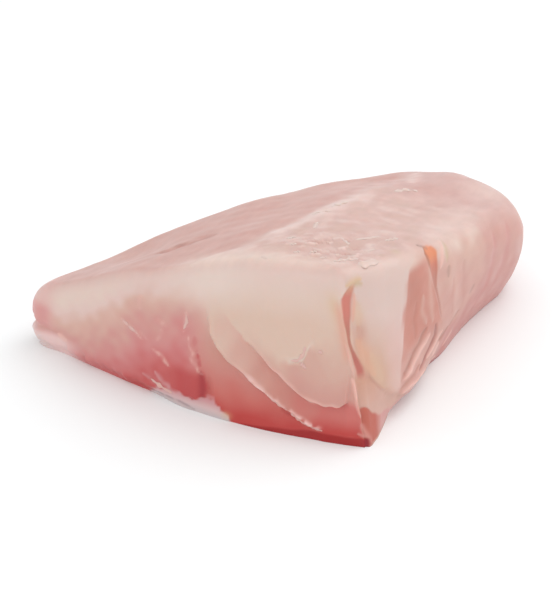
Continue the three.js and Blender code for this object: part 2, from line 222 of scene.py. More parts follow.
def plainSurface():
    # columns round the outline; rows: flat underside, wall from ground to rim with a bulge,
    # quadratic roundover, then the top run in to the middle
    f = form
    ground, station = outlineLoop(f["ground"], f["groundEase"], f["groundBow"])
    rim, _ = outlineLoop(f["rim"], f["rimEase"], f["rimBow"])
    middle = np.array(f["middle"])
    corner = np.arange(len(f["ground"]) + 1)
    rounding, bulge = [np.interp(station, corner, f[key] + f[key][:1])
                       for key in ("rounding", "bulge")]
    height = topHeight(rim[:, 0], rim[:, 1])
    rounding = np.minimum(rounding, f["mostRounding"] * height)
    tangent = np.roll(ground, -1, 0) - np.roll(ground, 1, 0)
    normal = np.stack([-tangent[:, 1], tangent[:, 0]], 1) / np.linalg.norm(tangent, axis=1, keepdims=True)
    outward = (ground + rim) / 2 - middle
    outward /= np.linalg.norm(outward, axis=1, keepdims=True)
    inner = rim + (middle - rim) * (rounding / np.linalg.norm(middle - rim, axis=1))[:, None]

    t = (np.arange(1, f["footRows"]) / f["footRows"])[:, None]
    foot = middle + (ground - middle) * t[..., None]
    footZ = np.zeros((len(t), len(ground)))
    t = np.linspace(0, 1, f["wallRows"])[:, None] * (1 - rounding / height)
    wall = ground * (1 - t)[..., None] + rim * t[..., None] + normal * (bulge * arch(t))[..., None]
    wallZ = t * height
    t = (np.arange(1, f["edgeRows"] + 1) / f["edgeRows"])[:, None]
    u = t[..., None]
    edge = wall[-1] * (1 - u) ** 2 + rim * 2 * u * (1 - u) + inner * u ** 2
    innerZ = topHeight(inner[:, 0], inner[:, 1])
    edgeZ = wallZ[-1] * (1 - t) ** 2 + height * 2 * t * (1 - t) + innerZ * t ** 2
    edgeLift = np.broadcast_to(t, edgeZ.shape)
    t = (np.arange(1, f["topRows"]) / f["topRows"])[:, None, None]
    top = inner * (1 - t) + middle * t
    topZ = topHeight(top[..., 0], top[..., 1])

    points = np.concatenate([foot, wall, edge, top])
    p = SimpleNamespace()
    p.along, p.deep = points[..., 0], points[..., 1]
    p.z = np.concatenate([footZ, wallZ, edgeZ, topZ])
    p.lift = np.concatenate([np.zeros_like(footZ), np.zeros_like(wallZ), edgeLift, np.ones_like(topZ)])
    p.under = np.concatenate([np.ones_like(footZ)] + [np.zeros_like(x) for x in (wallZ, edgeZ, topZ)])
    p.above = 1 - p.under
    p.outward = outward
    p.share = p.z / height  # of the wall's height
    p.cutColumn = rise(-normal[:, 1], 0.35, 0.8) + 0 * p.z
    p.sideColumn = rise(-normal[:, 0], 0.55, 0.9) + 0 * p.z
    p.cut = p.cutColumn * (1 - p.lift)
    p.side = p.sideColumn * fall(p.lift, 0.5, 1)
    frontGround, frontRim = np.array(f["ground"][0]), np.array(f["rim"][0])
    up = (p.z / f["cornerHeight"])[..., None]
    frontEdge = frontGround * (1 - up) + frontRim * up
    p.past = (p.along - frontEdge[..., 0]) - (p.deep - frontEdge[..., 1])  # round the front corner
    p.front = fall(p.along + p.deep, 24, 34)
    return p


plain = plainSurface()
print("plain form:", plain.z.shape, "rows and columns")


# Flake edges on the cut face: level at first, rising steadily from turn on, steep at the crest

flakes = {
    "lower": {"foot": 2.6, "rise": 0.55, "turn": 13.9, "fold": 1.4, "sweep": 9, "hook": 0, "proud": 0.9,
              "ends": (10, 15, 42, 46), "seed": 3},
    "upper": {"foot": 9.3, "rise": 0.74, "turn": 15.5, "fold": 1.7, "sweep": 0, "hook": 1.3, "proud": 1.1,
              "ends": (6, 7.5, 27, 35), "seed": 5},
    "crest": 44.5,
    "bend": 2.2,
    "hookFrom": 9.5,  # the near end of an edge turns up from here
    "hookSpan": 2.6,
    "step": (9, 4, 0.7, 0.4),  # fade above, fade below, sink, width
    "top": (20, 30),  # the edges die out between these heights
    "bead": 0.25, "beadAt": 0.5, "beadHalf": 0.45,
    "ragged": 0.14,
}


def flakeGap(p, edge):
    # distance above z = foot + rise * fold * log(1 + exp((along - turn) / fold))
    # + sweep * exp((along - crest) / bend), measured square to that curve and made a little ragged
    f = flakes
    turned = (p.along - edge["turn"]) / edge["fold"]
    reach = np.minimum(p.along, f["crest"] + f["bend"])
    curl = np.exp((reach - f["crest"]) / f["bend"])
    line = edge["foot"] + edge["rise"] * edge["fold"] * np.logaddexp(0, turned) + edge["sweep"] * curl
    hook = edge["hook"] * rise(f["hookFrom"] - p.along, 0, f["hookSpan"])
    slope = edge["rise"] / (1 + np.exp(-turned)) + edge["sweep"] / f["bend"] * curl
    gap = (p.z - line - hook) / np.hypot(1, slope)
    return gap + f["ragged"] * waves(4, edge["seed"], p.along, p.z)


def flakeRelief(p):
    # a step at each edge with a bead along it, fading towards its ends and the top
    f = flakes
    total = 0
    low = fall(p.z, *f["top"])
    for edge, gap in ((f["lower"], p.lowerGap), (f["upper"], p.upperGap)):
        lip = edge["proud"] * edgeStep(gap, *f["step"])
        bead = f["bead"] * bell(gap, f["beadAt"], f["beadHalf"])
        total = total + (lip + bead) * window(p.along, *edge["ends"]) * low
    return total * p.cut


# Front corner: a split down the edge, a pillar beside it, and a sunk web of membrane under the pillar

cornerSplit = {
    "depth": 0.7, "shredHeight": 0.2,
    "edges": [  # height, left edge on the cut face, right edge on the pillar
        (15.6, 0.9, -2.8), (16.8, 0.8, -3), (19, 0.8, -2.7), (20.9, 1, -1.8), (22.1, 1.2, -0.9),
        (23.7, 1.5, 0.1), (25.4, 1.9, 0.8), (26.8, 2, 0.9), (28.7, 2, 0.3), (31.2, 2.3, -0.5),
        (33.4, 2.3, -1.2), (35.5, 2.1, -2), (36.8, 1.2, -2.6), (38, -0.2, -3.4), (39.4, -2, -5)],
    "rows": (15, 16.6, 37.5, 40),
    "webEdge": 2.3, "webTop": 23, "webSweep": 0.05,  # the pillar's lower edge
    "webLeft": 1.4, "webDepth": 0.5,
    "webFoot": 9.7, "webDrop": 4.3, "webTail": 1.4,  # the web's own torn lower edge
    "pillarEdge": [  # height, place of the pillar's edge on the side face
        (0, 17), (5, 17.4), (9.3, 18.4), (15.6, 19.2), (23.4, 20.1), (28.2, 21.2), (33.3, 22.5),
        (35.8, 23.6), (36.8, 25.2), (37.4, 28), (38.5, 34)],
    # warmer and darker marks, and pale shreds: points as (past the corner, z), half width, colour,
    # strength
    "marks": [
        ([(-3, 34.5), (-3.2, 31.5), (-2.6, 29)], 2.4, "pillarTan", 0.7),
        ([(-2.2, 28.8), (-3, 27.4), (-2.4, 25.6)], 2.4, "pillarBrown", 0.75),
        ([(-1.2, 25.8), (-3.2, 22.4), (-5, 19), (-6.6, 16.4)], 2.4, "pillarWarm", 0.8),
        ([(-6, 21.5), (-7.6, 18), (-9.6, 13.5)], 2, "pillarTan", 0.5),
        ([(-2.8, 36.6), (-2, 34), (-0.8, 30.5)], 0.9, "splitHalo", 0.7),
        ([(-0.2, 38.8), (-2.6, 39.4), (-6.2, 39.6)], 0.8, "splitYellow", 0.9),
        ([(-3.2, 38.5), (-4.8, 38.8), (-6.4, 38.2)], 0.7, "olive", 0.8),
    ],
    "shreds": [
        ([(1.6, 6), (0.4, 3.6), (-1.4, 0.8)], 1, "webPink", 0.85),
        ([(3, 3.5), (1.4, 3.1), (0.2, 3)], 0.5, "webPink", 0.8),
        ([(2.5, 25), (2, 22.4), (1.7, 19.6), (1.6, 17.4)], 0.4, "lipPink", 0.4),
        ([(2.3, 16.8), (1.6, 15), (1.8, 13.4), (1.9, 12)], 0.65, "lipPink", 0.9),
        ([(1.9, 13), (1.9, 10.4), (1.5, 7.6)], 0.5, "lipPink", 0.6),
    ],
}


def splitShape(p):
    # the split lies between two edges given by height; splitSide is 1 on the left one, -1 on the right
    c = cornerSplit
    z, past = p.zOn, p.pastOn
    ragged = 0.12 * waves(6, 11, p.z, p.deep)
    heights, left, right = np.array(c["edges"]).T
    left = np.interp(p.z, heights, left)
    right = np.interp(p.z, heights, right)
    p.splitSide = (p.past - (left + right) / 2 + ragged) / ((left - right) / 2)
    p.split = fall(np.abs(p.splitSide), 0.2, 1.25) * window(p.z, *c["rows"]) * p.front * p.above
    p.splitDepth = c["depth"] * np.clip((left - right) / 4, 0.25, 1)
    # the web lies between the cut face and the pillar's lower edge, which curves away as it goes down
    below = np.maximum(c["webTop"] - z, 0)
    p.webGap = past + c["webEdge"] + c["webSweep"] * below ** 2 + 2 * ragged
    drop = c["webDrop"] * rise(-past, -0.5, 7) + c["webTail"] * rise(-past, 7, 14)
    p.webFoot = z - c["webFoot"] + drop + 0.35 * waves(5, 12, p.past, p.z)
    corner = p.front * p.above * (1 - p.lift)
    p.web = rise(p.webGap, -0.7, 0.7) * fall(p.past + ragged, c["webLeft"] - 0.3, c["webLeft"] + 0.3)
    p.web = p.web * fall(p.z, 15, 19) * corner
    heights, edge = np.array(c["pillarEdge"]).T
    p.pillarGap = p.deepOn - np.interp(z, heights, edge) + 0.3 * waves(9, 13, p.z)
    p.pillar = rise(-p.past, -0.3, 1) * fall(p.pillarGap, -0.9, 0.6)
    p.pillar = p.pillar * fall(p.along, 16, 22) * (1 - p.web) * p.above
    p.marks = [strokeShare(past, z, line, half) * p.front * p.above for line, half, *_ in c["marks"]]
    p.shreds = [strokeShare(p.past + ragged, p.z, line, half) * corner for line, half, *_ in c["shreds"]]


def cornerRelief(p):
    # split and web sink in, shreds stand out
    shreds = cornerSplit["shredHeight"] * sum(p.shreds)
    return -p.splitDepth * p.split - cornerSplit["webDepth"] * p.web + shreds


# Side face: recess, second split, ridge, and a fan of thin flakes low down

sideFace = {
    "recessFade": 9, "recessDepth": 0.8, "recessRows": (2, 9, 34, 39),
    "splitEdges": [  # height, middle, half width
        (13, 41.4, 0.3), (14.7, 40.6, 0.4), (16.1, 39.8, 0.4), (20, 38.2, 0.4), (21.6, 37.5, 0.4),
        (26, 35.9, 0.6), (29.5, 35.6, 1.3), (32.3, 35.3, 1.9), (33.6, 35.3, 2.2), (35.1, 35.6, 2.7),
        (36.4, 35.3, 2.4), (37.2, 35, 1)],
    "splitDepth": 0.2, "splitFoot": (13, 19),
    "ridgeDeep": 43, "ridgeZ": 28, "ridgeLean": 0.3, "ridgeHalf": 3, "ridgeHeight": 0.5,
    "bandLean": 0.35, "bandSize": 8, "bandHeight": 0.03,
    "footOut": [  # deep, how far the foot stands out; it draws in under the flesh that hangs over it
        (0, 0.2), (5, 0.4), (9, -0.2), (13, -1.1), (18, -2.6), (23, -3.7), (29, -3.7),
        (35, -2.4), (42, -0.4), (46, 0.3), (50, 0.5), (62, 0)],
    "footTop": 4,
    "lip": 1.7, "lipZ": 6, "lipHalf": 3.2, "lipEnds": (8, 20, 27, 46),
    "lipSlide": (3.2, 2.1),  # what lies on the lip slides by this much along deep and z
    "endDeep": (59.5, 63),  # pink beyond here, and low down
    "endLow": 10, "endRise": 0.9, "endRiseFrom": 53,
    # flake edges and streaks: points as (deep, z), half width, colour, strength, height. The light flake
    # strokes paint highlights along the flake edges and the lip, partly paler membrane; the brown and red
    # fan strokes paint shade beside the flake edges, and the darkest recess stroke paints shade beside the
    # pillar
    "strokes": [
        ([(31.9, 16.4), (30, 15.2), (28.3, 13.2), (25.6, 12), (23.4, 10.2), (19.9, 8.1)],
         1.3, "fanBrown", 0.9, -0.3),
        ([(33.8, 14), (31.9, 12.3), (29.3, 11.4), (26.2, 10), (24.4, 8.4), (21.4, 7.4)],
         1.1, "flakeLight", 0.9, 0.3),
        ([(37, 15), (37.6, 11.5), (36.1, 9.1), (34.4, 7.7), (32.2, 6.5), (29.5, 5.5)],
         1.1, "fanRed", 0.9, -0.3),
        ([(41.6, 10.6), (39.2, 9.4), (37, 7.8), (34, 6.5)], 0.8, "flakeLight", 0.9, 0.25),
        ([(41.2, 6.9), (39.4, 6.2), (37.4, 5)], 1.3, "flakeLight", 0.7, 0.15),
        ([(45.6, 9.8), (43.7, 8.5), (41.2, 7.8)], 0.8, "fanBrown", 0.8, -0.2),
        ([(29.4, 7.2), (26.6, 6.2), (23.4, 5.8), (20, 5.8)], 0.7, "fanBrown", 0.6, -0.2),
        ([(49.4, 6.4), (47.5, 5.1), (45.6, 3.8)], 0.7, "flakeLight", 0.85, 0.2),
        ([(42.4, 2.2), (39.5, 2.7), (35.5, 2.9), (31.3, 3.4), (27.3, 3.7), (23.5, 4.1), (18.6, 4.6)],
         0.55, "flakeLight", 0.9, 0.25),
        ([(51.2, 11.6), (48.5, 11), (46.3, 9.6)], 0.8, "fanBrown", 0.5, -0.1),
        ([(41.3, 35.6), (39.5, 33.8), (38.2, 30.5)], 0.8, "flakeLight", 0.75, 0.1),
        ([(42.6, 35.3), (41.7, 33.6), (41.3, 31.4)], 0.9, "olive", 0.75, -0.1),
        ([(42, 29.5), (41.7, 28), (42, 26.5)], 0.8, "sideDark", 0.35, -0.05),
        ([(57.4, 17), (56.2, 15.6), (55.4, 14.8)], 0.7, "sideDark", 0.3, -0.05),
        ([(44.6, 25), (44, 20), (46, 14)], 1, "sideRose", 0.5, -0.1),
        ([(50, 27), (50.4, 20), (52.5, 13.5)], 1.4, "sideRose", 0.4, -0.1),
        ([(29.6, 27), (29, 23), (31.5, 18)], 1, "sidePale", 0.5, 0.1),
        ([(33.4, 33), (33, 26), (34.6, 17)], 1.2, "sidePale", 0.5, 0.1),
        ([(26.6, 26), (25.6, 22), (26.4, 16.5)], 0.9, "recessDark", 0.6, -0.1),
        ([(67.5, 27), (66, 20), (65.5, 13), (61, 7)], 1.4, "endRose", 0.7, -0.1),
        ([(76, 26), (74, 18), (70, 9)], 1.8, "endRose", 0.6, -0.15),
    ],
}


def lipShape(p):
    # a bell in z along the foot; deepOn, pastOn and zOn are places that slide with it
    s = sideFace
    p.foot = p.side * p.above
    p.lip = hump(p.z - s["lipZ"], s["lipHalf"]) * window(p.deep, *s["lipEnds"]) * p.foot
    p.deepOn = p.deep + s["lipSlide"][0] * p.lip
    p.pastOn = p.past - s["lipSlide"][0] * p.lip
    p.zOn = p.z - s["lipSlide"][1] * p.lip


def sideShape(p):
    # sideGap is 1 and -1 on the two edges of the second split, which are given by height
    s = sideFace
    heights, middle, half = np.array(s["splitEdges"]).T
    splitAt = np.interp(p.z, heights, middle) + 0.15 * waves(8, 21, p.z)
    p.sideGap = (p.deep - splitAt) / np.interp(p.z, heights, half)
    p.sideSplit = fall(np.abs(p.sideGap), 0.4, 1.4) * rise(p.z, *s["splitFoot"])
    p.sideSplit = p.sideSplit * p.sideColumn * fall(p.lift, 0.5, 0.8) * p.above
    right = np.exp(-np.maximum(p.pillarGap, 0) / s["recessFade"])
    p.recess = rise(p.pillarGap, -0.7, 1.1) * right * window(p.z, *s["recessRows"]) * p.side
    stops, out = np.array(s["footOut"]).T
    p.footOut = np.interp(p.deep, stops, out) * fall(p.z, 0.2, s["footTop"]) * p.foot
    p.ridge = hump(p.deep - s["ridgeDeep"] + s["ridgeLean"] * (p.z - s["ridgeZ"]), s["ridgeHalf"])
    p.ridge = p.ridge * rise(p.z, 12, 22) * p.side
    # upright bands that lean back as they go down
    lean = p.deep + s["bandLean"] * (p.z - s["ridgeZ"])
    p.sideBand = waves(s["bandSize"], 23, lean, p.z / 7) * p.side * rise(p.pillarGap, 0, 3)
    bend = 0.1 * waves(5, 22, p.deep, p.z)
    p.sideStrokes = [strokeShare(p.deepOn + bend, p.zOn + bend, line, half) * p.sideColumn * p.above
                     for line, half, *_ in s["strokes"]]


def sideRelief(p):
    # recess and split sink in; ridge, lip, bands and strokes stand out
    s = sideFace
    hollow = s["recessDepth"] * p.recess + s["splitDepth"] * p.sideSplit
    lines = strokeHeight(s["strokes"], p.sideStrokes) + s["bandHeight"] * p.sideBand
    lines = lines * rise(p.z, 0, 2)
    return s["ridgeHeight"] * p.ridge - hollow + lines + p.footOut + s["lip"] * p.lip


# Small forms low on the cut face and at the tip

lowForms = {
    "lobeRight": 41.9, "lobeLeft": (49, 53), "lobeTop": (8.5, 12), "lobeHeight": 0.5,
    "creaseAlong": 41.3, "creaseHalf": 0.5, "creaseDepth": 0.3, "creaseRows": (4.5, 5.5, 9, 11),
    "lobeBow": 0.07, "lobeMiddle": 6.6,
    "skinTop": [  # place along, height that the skin's edge reaches
        (34.4, 0), (36.3, 1.9), (38.8, 2.9), (40.4, 4.8), (41.9, 4.9), (43.2, 4.2), (45.3, 3.1),
        (48.2, 3.2), (49.9, 4), (52.9, 4.3), (55.9, 3.6), (59.2, 1.5), (61.5, 0)],
    "skinProud": 0.2,
    "tuck": 1.6, "tuckTop": 3, "tuckEnds": (48, 60, 92, 98),  # the foot draws in under the face
    "notchFrom": 86, "notchFull": 95, "notchZ": 6.4, "notchHalf": 1.5, "notchDepth": 1.1,
    "tearZ": 19.3, "tearRise": 0.12, "tearLevelAt": 23.4,
    "tearTurn": 18.4, "tearTurnSpan": 1.8, "tearTurnUp": 3.6, "tearNear": 16.4, "tearNearRise": 0.25,
    "tearEnds": (15.6, 16.8, 20, 23.5), "tearProud": 0.2,
    "tearStep": (3, 2.5, 0.6, 0.3),  # fade above, fade below, sink, width
    "footRagged": 0.4, "flapRagged": 0.5,
    # membrane, seams and dark lines: points as (along, z), half width, colour, strength, height
    "strokes": [
        ([(63.4, 25.4), (63.2, 23.8), (62.8, 21.8)], 0.8, "seam", 0.4, 0.06),
        ([(68.2, 17.8), (65.3, 16.3), (63.4, 15.5), (61.8, 14.2)], 0.5, "seam", 0.6, 0.1),
        ([(57.6, 20.6), (56.3, 19.9), (55.1, 19.4)], 0.7, "seam", 0.5, 0.08),
        ([(56.6, 18.4), (57, 16.6), (57.4, 15)], 0.7, "seam", 0.3, 0.05),
        ([(49.7, 24.6), (49.4, 22.2), (50.2, 19.4)], 0.55, "seam", 0.6, 0.1),
        ([(48.2, 18.8), (47.5, 16.3), (46.8, 15.1), (47, 13.6), (45.7, 11.9), (45, 10.7), (43.4, 10.2)],
         0.42, "seam", 0.7, 0.1),
        ([(46.4, 19.4), (46.2, 17), (46, 15.2)], 0.4, "lowRose", 0.5, -0.08),
        ([(45.6, 15), (45, 13.4), (44.6, 11.8)], 0.6, "lobeRed", 0.75, -0.12),
        ([(58.4, 12.6), (55.9, 11.6), (54.4, 10.6), (53.2, 9.6)], 0.55, "seam", 0.7, 0.1),
        ([(57.2, 7), (54.8, 5), (52.4, 4.4)], 0.8, "skinPink", 0.6, 0.06),
        ([(61, 5.2), (58, 4.4), (55.4, 4)], 0.6, "skinPink", 0.4, 0.06),
        ([(59.6, 0.9), (56.5, 1.2), (52.9, 1.3), (49.4, 1.3), (47.3, 0.9), (45, 0.5)],
         0.4, "skinLine", 0.6, -0.08),
        ([(62.4, 16.4), (61, 15.2), (60.2, 14.4)], 0.4, "seam", 0.4, 0.06),
        ([(21.9, 6), (20.4, 5.1), (18.6, 4.3)], 0.5, "deepRed", 0.4, -0.1),
    ],
}


def lowShape(p):
    # each form is a product of soft steps, their borders made ragged by waves
    f = lowForms
    stops, height = np.array(f["skinTop"]).T
    skin = np.interp(p.along + 0.3 * waves(4, 31, p.along), stops, height)
    # the lobe's right side is a parabola that bows towards the front corner
    p.lobeAt = p.along - f["lobeBow"] * (p.z - f["lobeMiddle"]) ** 2
    right = rise(p.lobeAt + 0.15 * waves(4, 32, p.z) - f["lobeRight"], -0.25, 0.25)
    p.lobe = rise(p.z - skin + 0.15 * waves(3, 33, p.along), -0.2, 0.5) * right * p.cut
    p.lobe = p.lobe * fall(p.along, *f["lobeLeft"]) * fall(p.z, *f["lobeTop"])
    p.crease = hump(p.lobeAt - f["creaseAlong"], f["creaseHalf"]) * window(p.z, *f["creaseRows"]) * p.cut
    soft = 0.5 + 0.8 * rise(p.along, 49, 53)
    p.skinLip = fall(p.z - skin + 0.3 * waves(2.2, 40, p.along, p.z), -1.2 * soft, 0.5 * soft)
    p.skinLip = p.skinLip * rise(skin, 0.2, 1.4) * p.cut
    p.tuck = fall(p.z, 0.3, f["tuckTop"]) * window(p.along, *f["tuckEnds"]) * p.above
    p.notch = hump(p.z - f["notchZ"] + 0.5 * waves(6, 34, p.along, p.deep), f["notchHalf"])
    p.notch = p.notch * rise(p.along, f["notchFrom"], f["notchFull"]) * (1 - p.lift) * p.above
    # small tear in the upper flake: a level edge that turns up at its near end
    tearAt = f["tearZ"] + f["tearRise"] * (f["tearLevelAt"] - p.along)
    tearAt = tearAt + f["tearTurnUp"] * rise(f["tearTurn"] - p.along, 0, f["tearTurnSpan"])
    tearAt = tearAt + f["tearNearRise"] * np.maximum(f["tearNear"] - p.along, 0)
    p.tearGap = p.z - tearAt + 0.2 * waves(3, 35, p.along, p.z)
    p.tear = window(p.along, *f["tearEnds"]) * p.cut
    wander = 0.2 * waves(4.5, 36, p.along, p.z)
    broken = 0.35 + 0.65 * rise(waves(2.6, 38, p.along, p.z), -1.3, 0.6)
    p.cutStrokes = [strokeShare(p.along + wander, p.z, line, half) * broken * p.cut
                    for line, half, *_ in f["strokes"]]
    p.seam = sum(strength * share for (_, _, colour, strength, _), share in zip(f["strokes"], p.cutStrokes)
                 if colour == "seam")


def lowRelief(p):
    # lobe, skin and tear stand out, crease, notch and tuck sink in; foot and flap are ragged
    f = lowForms
    tear = f["tearProud"] * edgeStep(p.tearGap, *f["tearStep"]) * p.tear
    low = f["lobeHeight"] * p.lobe - f["creaseDepth"] * p.crease + f["skinProud"] * p.skinLip
    foot = f["footRagged"] * waves(4, 37, p.along, p.deep)
    foot = foot * window(p.z, 0.2, 1, 1.6, 4.5) * rise(p.along, 56, 70) * p.above
    flap = f["flapRagged"] * waves(9, 39, p.along, p.deep, p.z)
    flap = flap * window(p.z, 0.2, 1.5, 3.5, 6.5) * rise(p.along, 82, 90) * p.above
    lines = strokeHeight(f["strokes"], p.cutStrokes)
    return low - f["notchDepth"] * p.notch + tear + lines + foot + flap - f["tuck"] * p.tuck


# Top: crest line with a lower far strip, a groove, torn crumbs near the front rim, fine ripples

topForms = {
    "crestEnd": 28, "crestSwing": 26, "crestFade": 26, "crestWidth": 2,
    "rise": 0.35, "drop": 0.45, "spread": 9, "ends": (2, 8, 76, 92),
    "grooveFrom": (65, 15.4), "grooveTo": (57.6, 24), "grooveHalf": 1.3, "grooveDepth": 0.6,
    "ripple": 0.008,
    "crumb": 0.4, "crumbAlong": (20, 12), "crumbDeep": (19, 9),  # middle and span
    "pit": 0.25,
}


def toPlan(along, deep):
    # x and y, turned by the heading
    turn = math.radians(form["heading"])
    x = deep * math.cos(turn) - along * math.sin(turn)
    return x, deep * math.sin(turn) + along * math.cos(turn)


def topShape(p):
    # the crest lies at along = crestEnd + crestSwing * exp(-deep / crestFade)
    t = topForms
    p.x, p.y = toPlan(p.along, p.deep)
    crest = t["crestEnd"] + t["crestSwing"] * np.exp(-np.maximum(p.deep, 0) / t["crestFade"])
    p.pastCrest = p.along - crest + 0.6 * waves(16, 41, p.along, p.deep)
    p.onTop = rise(p.lift, 0.2, 1) * p.above
    p.crestSpan = window(p.deep, *t["ends"]) * p.lift
    away, _ = nearSegment(p.along, p.deep, t["grooveFrom"], t["grooveTo"])
    p.groove = hump(away + 0.4 * waves(5, 44, p.x, p.y), t["grooveHalf"]) * p.onTop
    # ripples run across the picture on the near part and along the far strip
    p.strip = rise(p.pastCrest, -1, 3) * p.onTop
    across = waves(4.5, 43, p.x / 1.6, p.y)
    alongStrip, acrossStrip = 0.61 * p.along - 0.79 * p.deep, 0.79 * p.along + 0.61 * p.deep
    p.streak = waves(8, 45, alongStrip / 4, acrossStrip)
    p.ripple = (across * (1 - p.strip) + 0.6 * p.streak * p.strip) * p.onTop
    p.patch = waves(11, 48, p.x, p.y) + 0.5 * waves(5, 49, p.x, p.y)
    # torn crumbs of membrane near the front rim, with pits between them
    zone = bell(p.along, *t["crumbAlong"]) * bell(p.deep, *t["crumbDeep"])
    broken = waves(2.4, 46, p.x / 1.8, p.y) + 0.8 * waves(6, 47, p.x, p.y)
    p.crumb = rise(broken, 1.3, 2.1) * zone * p.onTop
    p.pit = rise(-broken, 1, 2) * zone * p.onTop


def topRelief(p):
    # a step at the crest that fades both ways, then groove, ripples, crumbs and pits
    t = topForms
    fade = np.exp(-np.abs(p.pastCrest) / t["spread"]) * np.tanh(np.abs(p.pastCrest) / t["crestWidth"])
    step = np.where(p.pastCrest < 0, t["rise"], -t["drop"]) * fade * p.crestSpan
    torn = t["crumb"] * p.crumb - t["pit"] * p.pit
    return step - t["grooveDepth"] * p.groove + t["ripple"] * p.ripple + torn


# Unevenness all over, long swells and short ones

uneven = {"long": 0.35, "short": 0.6, "fine": 0.03, "fineSize": 4.5}  # short as a share of long


def unevenRelief(p):
    # products of sine waves along all three directions, plus fine random waves; none at the foot
    long = np.sin(p.along / 7.1 + 0.6) * np.sin(p.deep / 8.3 + 1.1) * np.cos(p.z / 9)
    short = np.sin(p.along / 3.7 + p.deep / 5.1) * np.cos(p.z / 5.3 + p.deep / 11)
    fine = waves(uneven["fineSize"], 51, p.along, p.deep, p.z)
    swell = uneven["long"] * (long + uneven["short"] * short)
    return (swell + uneven["fine"] * fine) * rise(p.z, 0, 4)


plain.lowerGap = flakeGap(plain, flakes["lower"])
plain.upperGap = flakeGap(plain, flakes["upper"])
lipShape(plain)
splitShape(plain)
sideShape(plain)
lowShape(plain)
topShape(plain)
reliefs = [flakeRelief, cornerRelief, sideRelief, lowRelief, topRelief, unevenRelief]
raised = sum(relief(plain) for relief in reliefs)
print("relief from", round(float(raised.min()), 2), "to", round(float(raised.max()), 2), "mm")


# Colours, as seen in soft white light

tones = {
    "cream": (228, 204, 192), "warmCream": (222, 191, 174), "palePink": (227, 197, 189),
    "bandTan": (219, 177, 163), "blush": (213, 158, 149), "rose": (212, 142, 138),
    "brightRose": (209, 125, 124), "lowRose": (204, 107, 106), "red": (197, 86, 84),
    "lobeRed": (191, 73, 73), "crimson": (166, 46, 52), "deepRed": (164, 22, 22),
    "bottomRed": (194, 63, 58), "underRed": (204, 107, 98), "underPink": (207, 133, 123),
    "bandPink": (209, 150, 137), "bandRose": (204, 129, 118), "bandRed": (207, 113, 106),
    "flakePink": (209, 153, 142), "topPink": (211, 174, 165), "topBeige": (207, 171, 159),
    "topPale": (222, 192, 183), "backPink": (208, 168, 162), "stripPink": (204, 158, 149),
    "streakPink": (198, 147, 138), "ridgeLight": (230, 204, 197), "pillar": (220, 193, 184),
    "pillarLow": (210, 168, 146), "pillarWarm": (220, 168, 142), "pillarBrown": (204, 153, 136),
    "splitRed": (214, 132, 118), "splitDark": (197, 130, 113), "splitLow": (196, 114, 102),
    "splitTop": (218, 165, 138), "splitHalo": (226, 168, 148), "splitYellow": (222, 187, 153),
    "web": (208, 157, 136), "webPale": (210, 167, 153), "webOrange": (191, 100, 84),
    "webPink": (212, 146, 136), "edgePink": (209, 152, 147), "footEdgeShade": (172, 104, 106),
    "recess": (203, 133, 117), "recessDark": (193, 126, 110), "fanRed": (174, 112, 103),
    "flakeLight": (236, 190, 179), "sideOrange": (224, 142, 104), "sideDeep": (206, 124, 102),
    "sideDark": (150, 118, 108), "sideRose": (203, 149, 138), "sidePale": (215, 174, 160),
    "sidePink": (211, 161, 150), "endPink": (206, 153, 143), "endRose": (206, 143, 137),
    "olive": (206, 180, 150), "membrane": (236, 212, 204), "seam": (230, 180, 170),
    "brown": (186, 152, 132), "skinPale": (221, 193, 193), "skinPink": (211, 162, 164),
    "skinRose": (205, 138, 139), "silver": (216, 200, 196), "silverGrey": (168, 156, 162),
    "skinLine": (146, 118, 124), "skinGrey": (210, 194, 194), "yellow": (220, 192, 146),
    "flap": (242, 213, 210), "tipPink": (225, 177, 172), "tipRed": (216, 150, 146),
    "pillarTan": (218, 184, 158), "pillarPink": (222, 184, 178), "lipPink": (237, 186, 174),
    "fanBrown": (185, 130, 117), "cornerRed": (150, 34, 50), "edgeLight": (246, 204, 197),
    "crestPale": (231, 210, 200), "topShred": (223, 194, 184), "splitBrown": (166, 104, 84),
}
toneGain = 0.92  # the table is lit brighter than the colours are meant for


def linear(name):  # a named colour in linear light
    c = np.array(tones[name]) / 255
    return toneGain * np.where(c <= 0.04045, c / 12.92, ((c + 0.055) / 1.055) ** 2.4)


def ramp(x, stops):
    # colour between named stops, linear in light
    at = [s[0] for s in stops]
    colours = np.array([linear(s[1]) for s in stops])
    return np.stack([np.interp(x, at, colours[:, i]) for i in range(3)], -1)


def paint(tone, colour, share):
    # moves by share towards a named colour, or towards another tone
    goal = linear(colour) if isinstance(colour, str) else colour
    return tone + (goal - tone) * np.clip(share, 0, 1)[..., None]


def maskShare(p, masks):
    # product of masks; each is a value of the surface, alone or put through a curve with its numbers
    share = 1
    for name, *curve in masks:
        value = getattr(p, name)
        share = share * (curve[0](value, *curve[1:]) if curve else value)
    return share


def paintLayers(p, tone, layers):
    # one layer after another: colour, strength, masks
    for colour, strength, *masks in layers:
        tone = paint(tone, colour, strength * maskShare(p, masks))
    return tone


def paintStrokes(tone, strokes, shares):
    # bent lines: points, half width, colour, strength, and a height where they have one
    for stroke, share in zip(strokes, shares):
        tone = paint(tone, stroke[2], stroke[3] * share)
    return tone
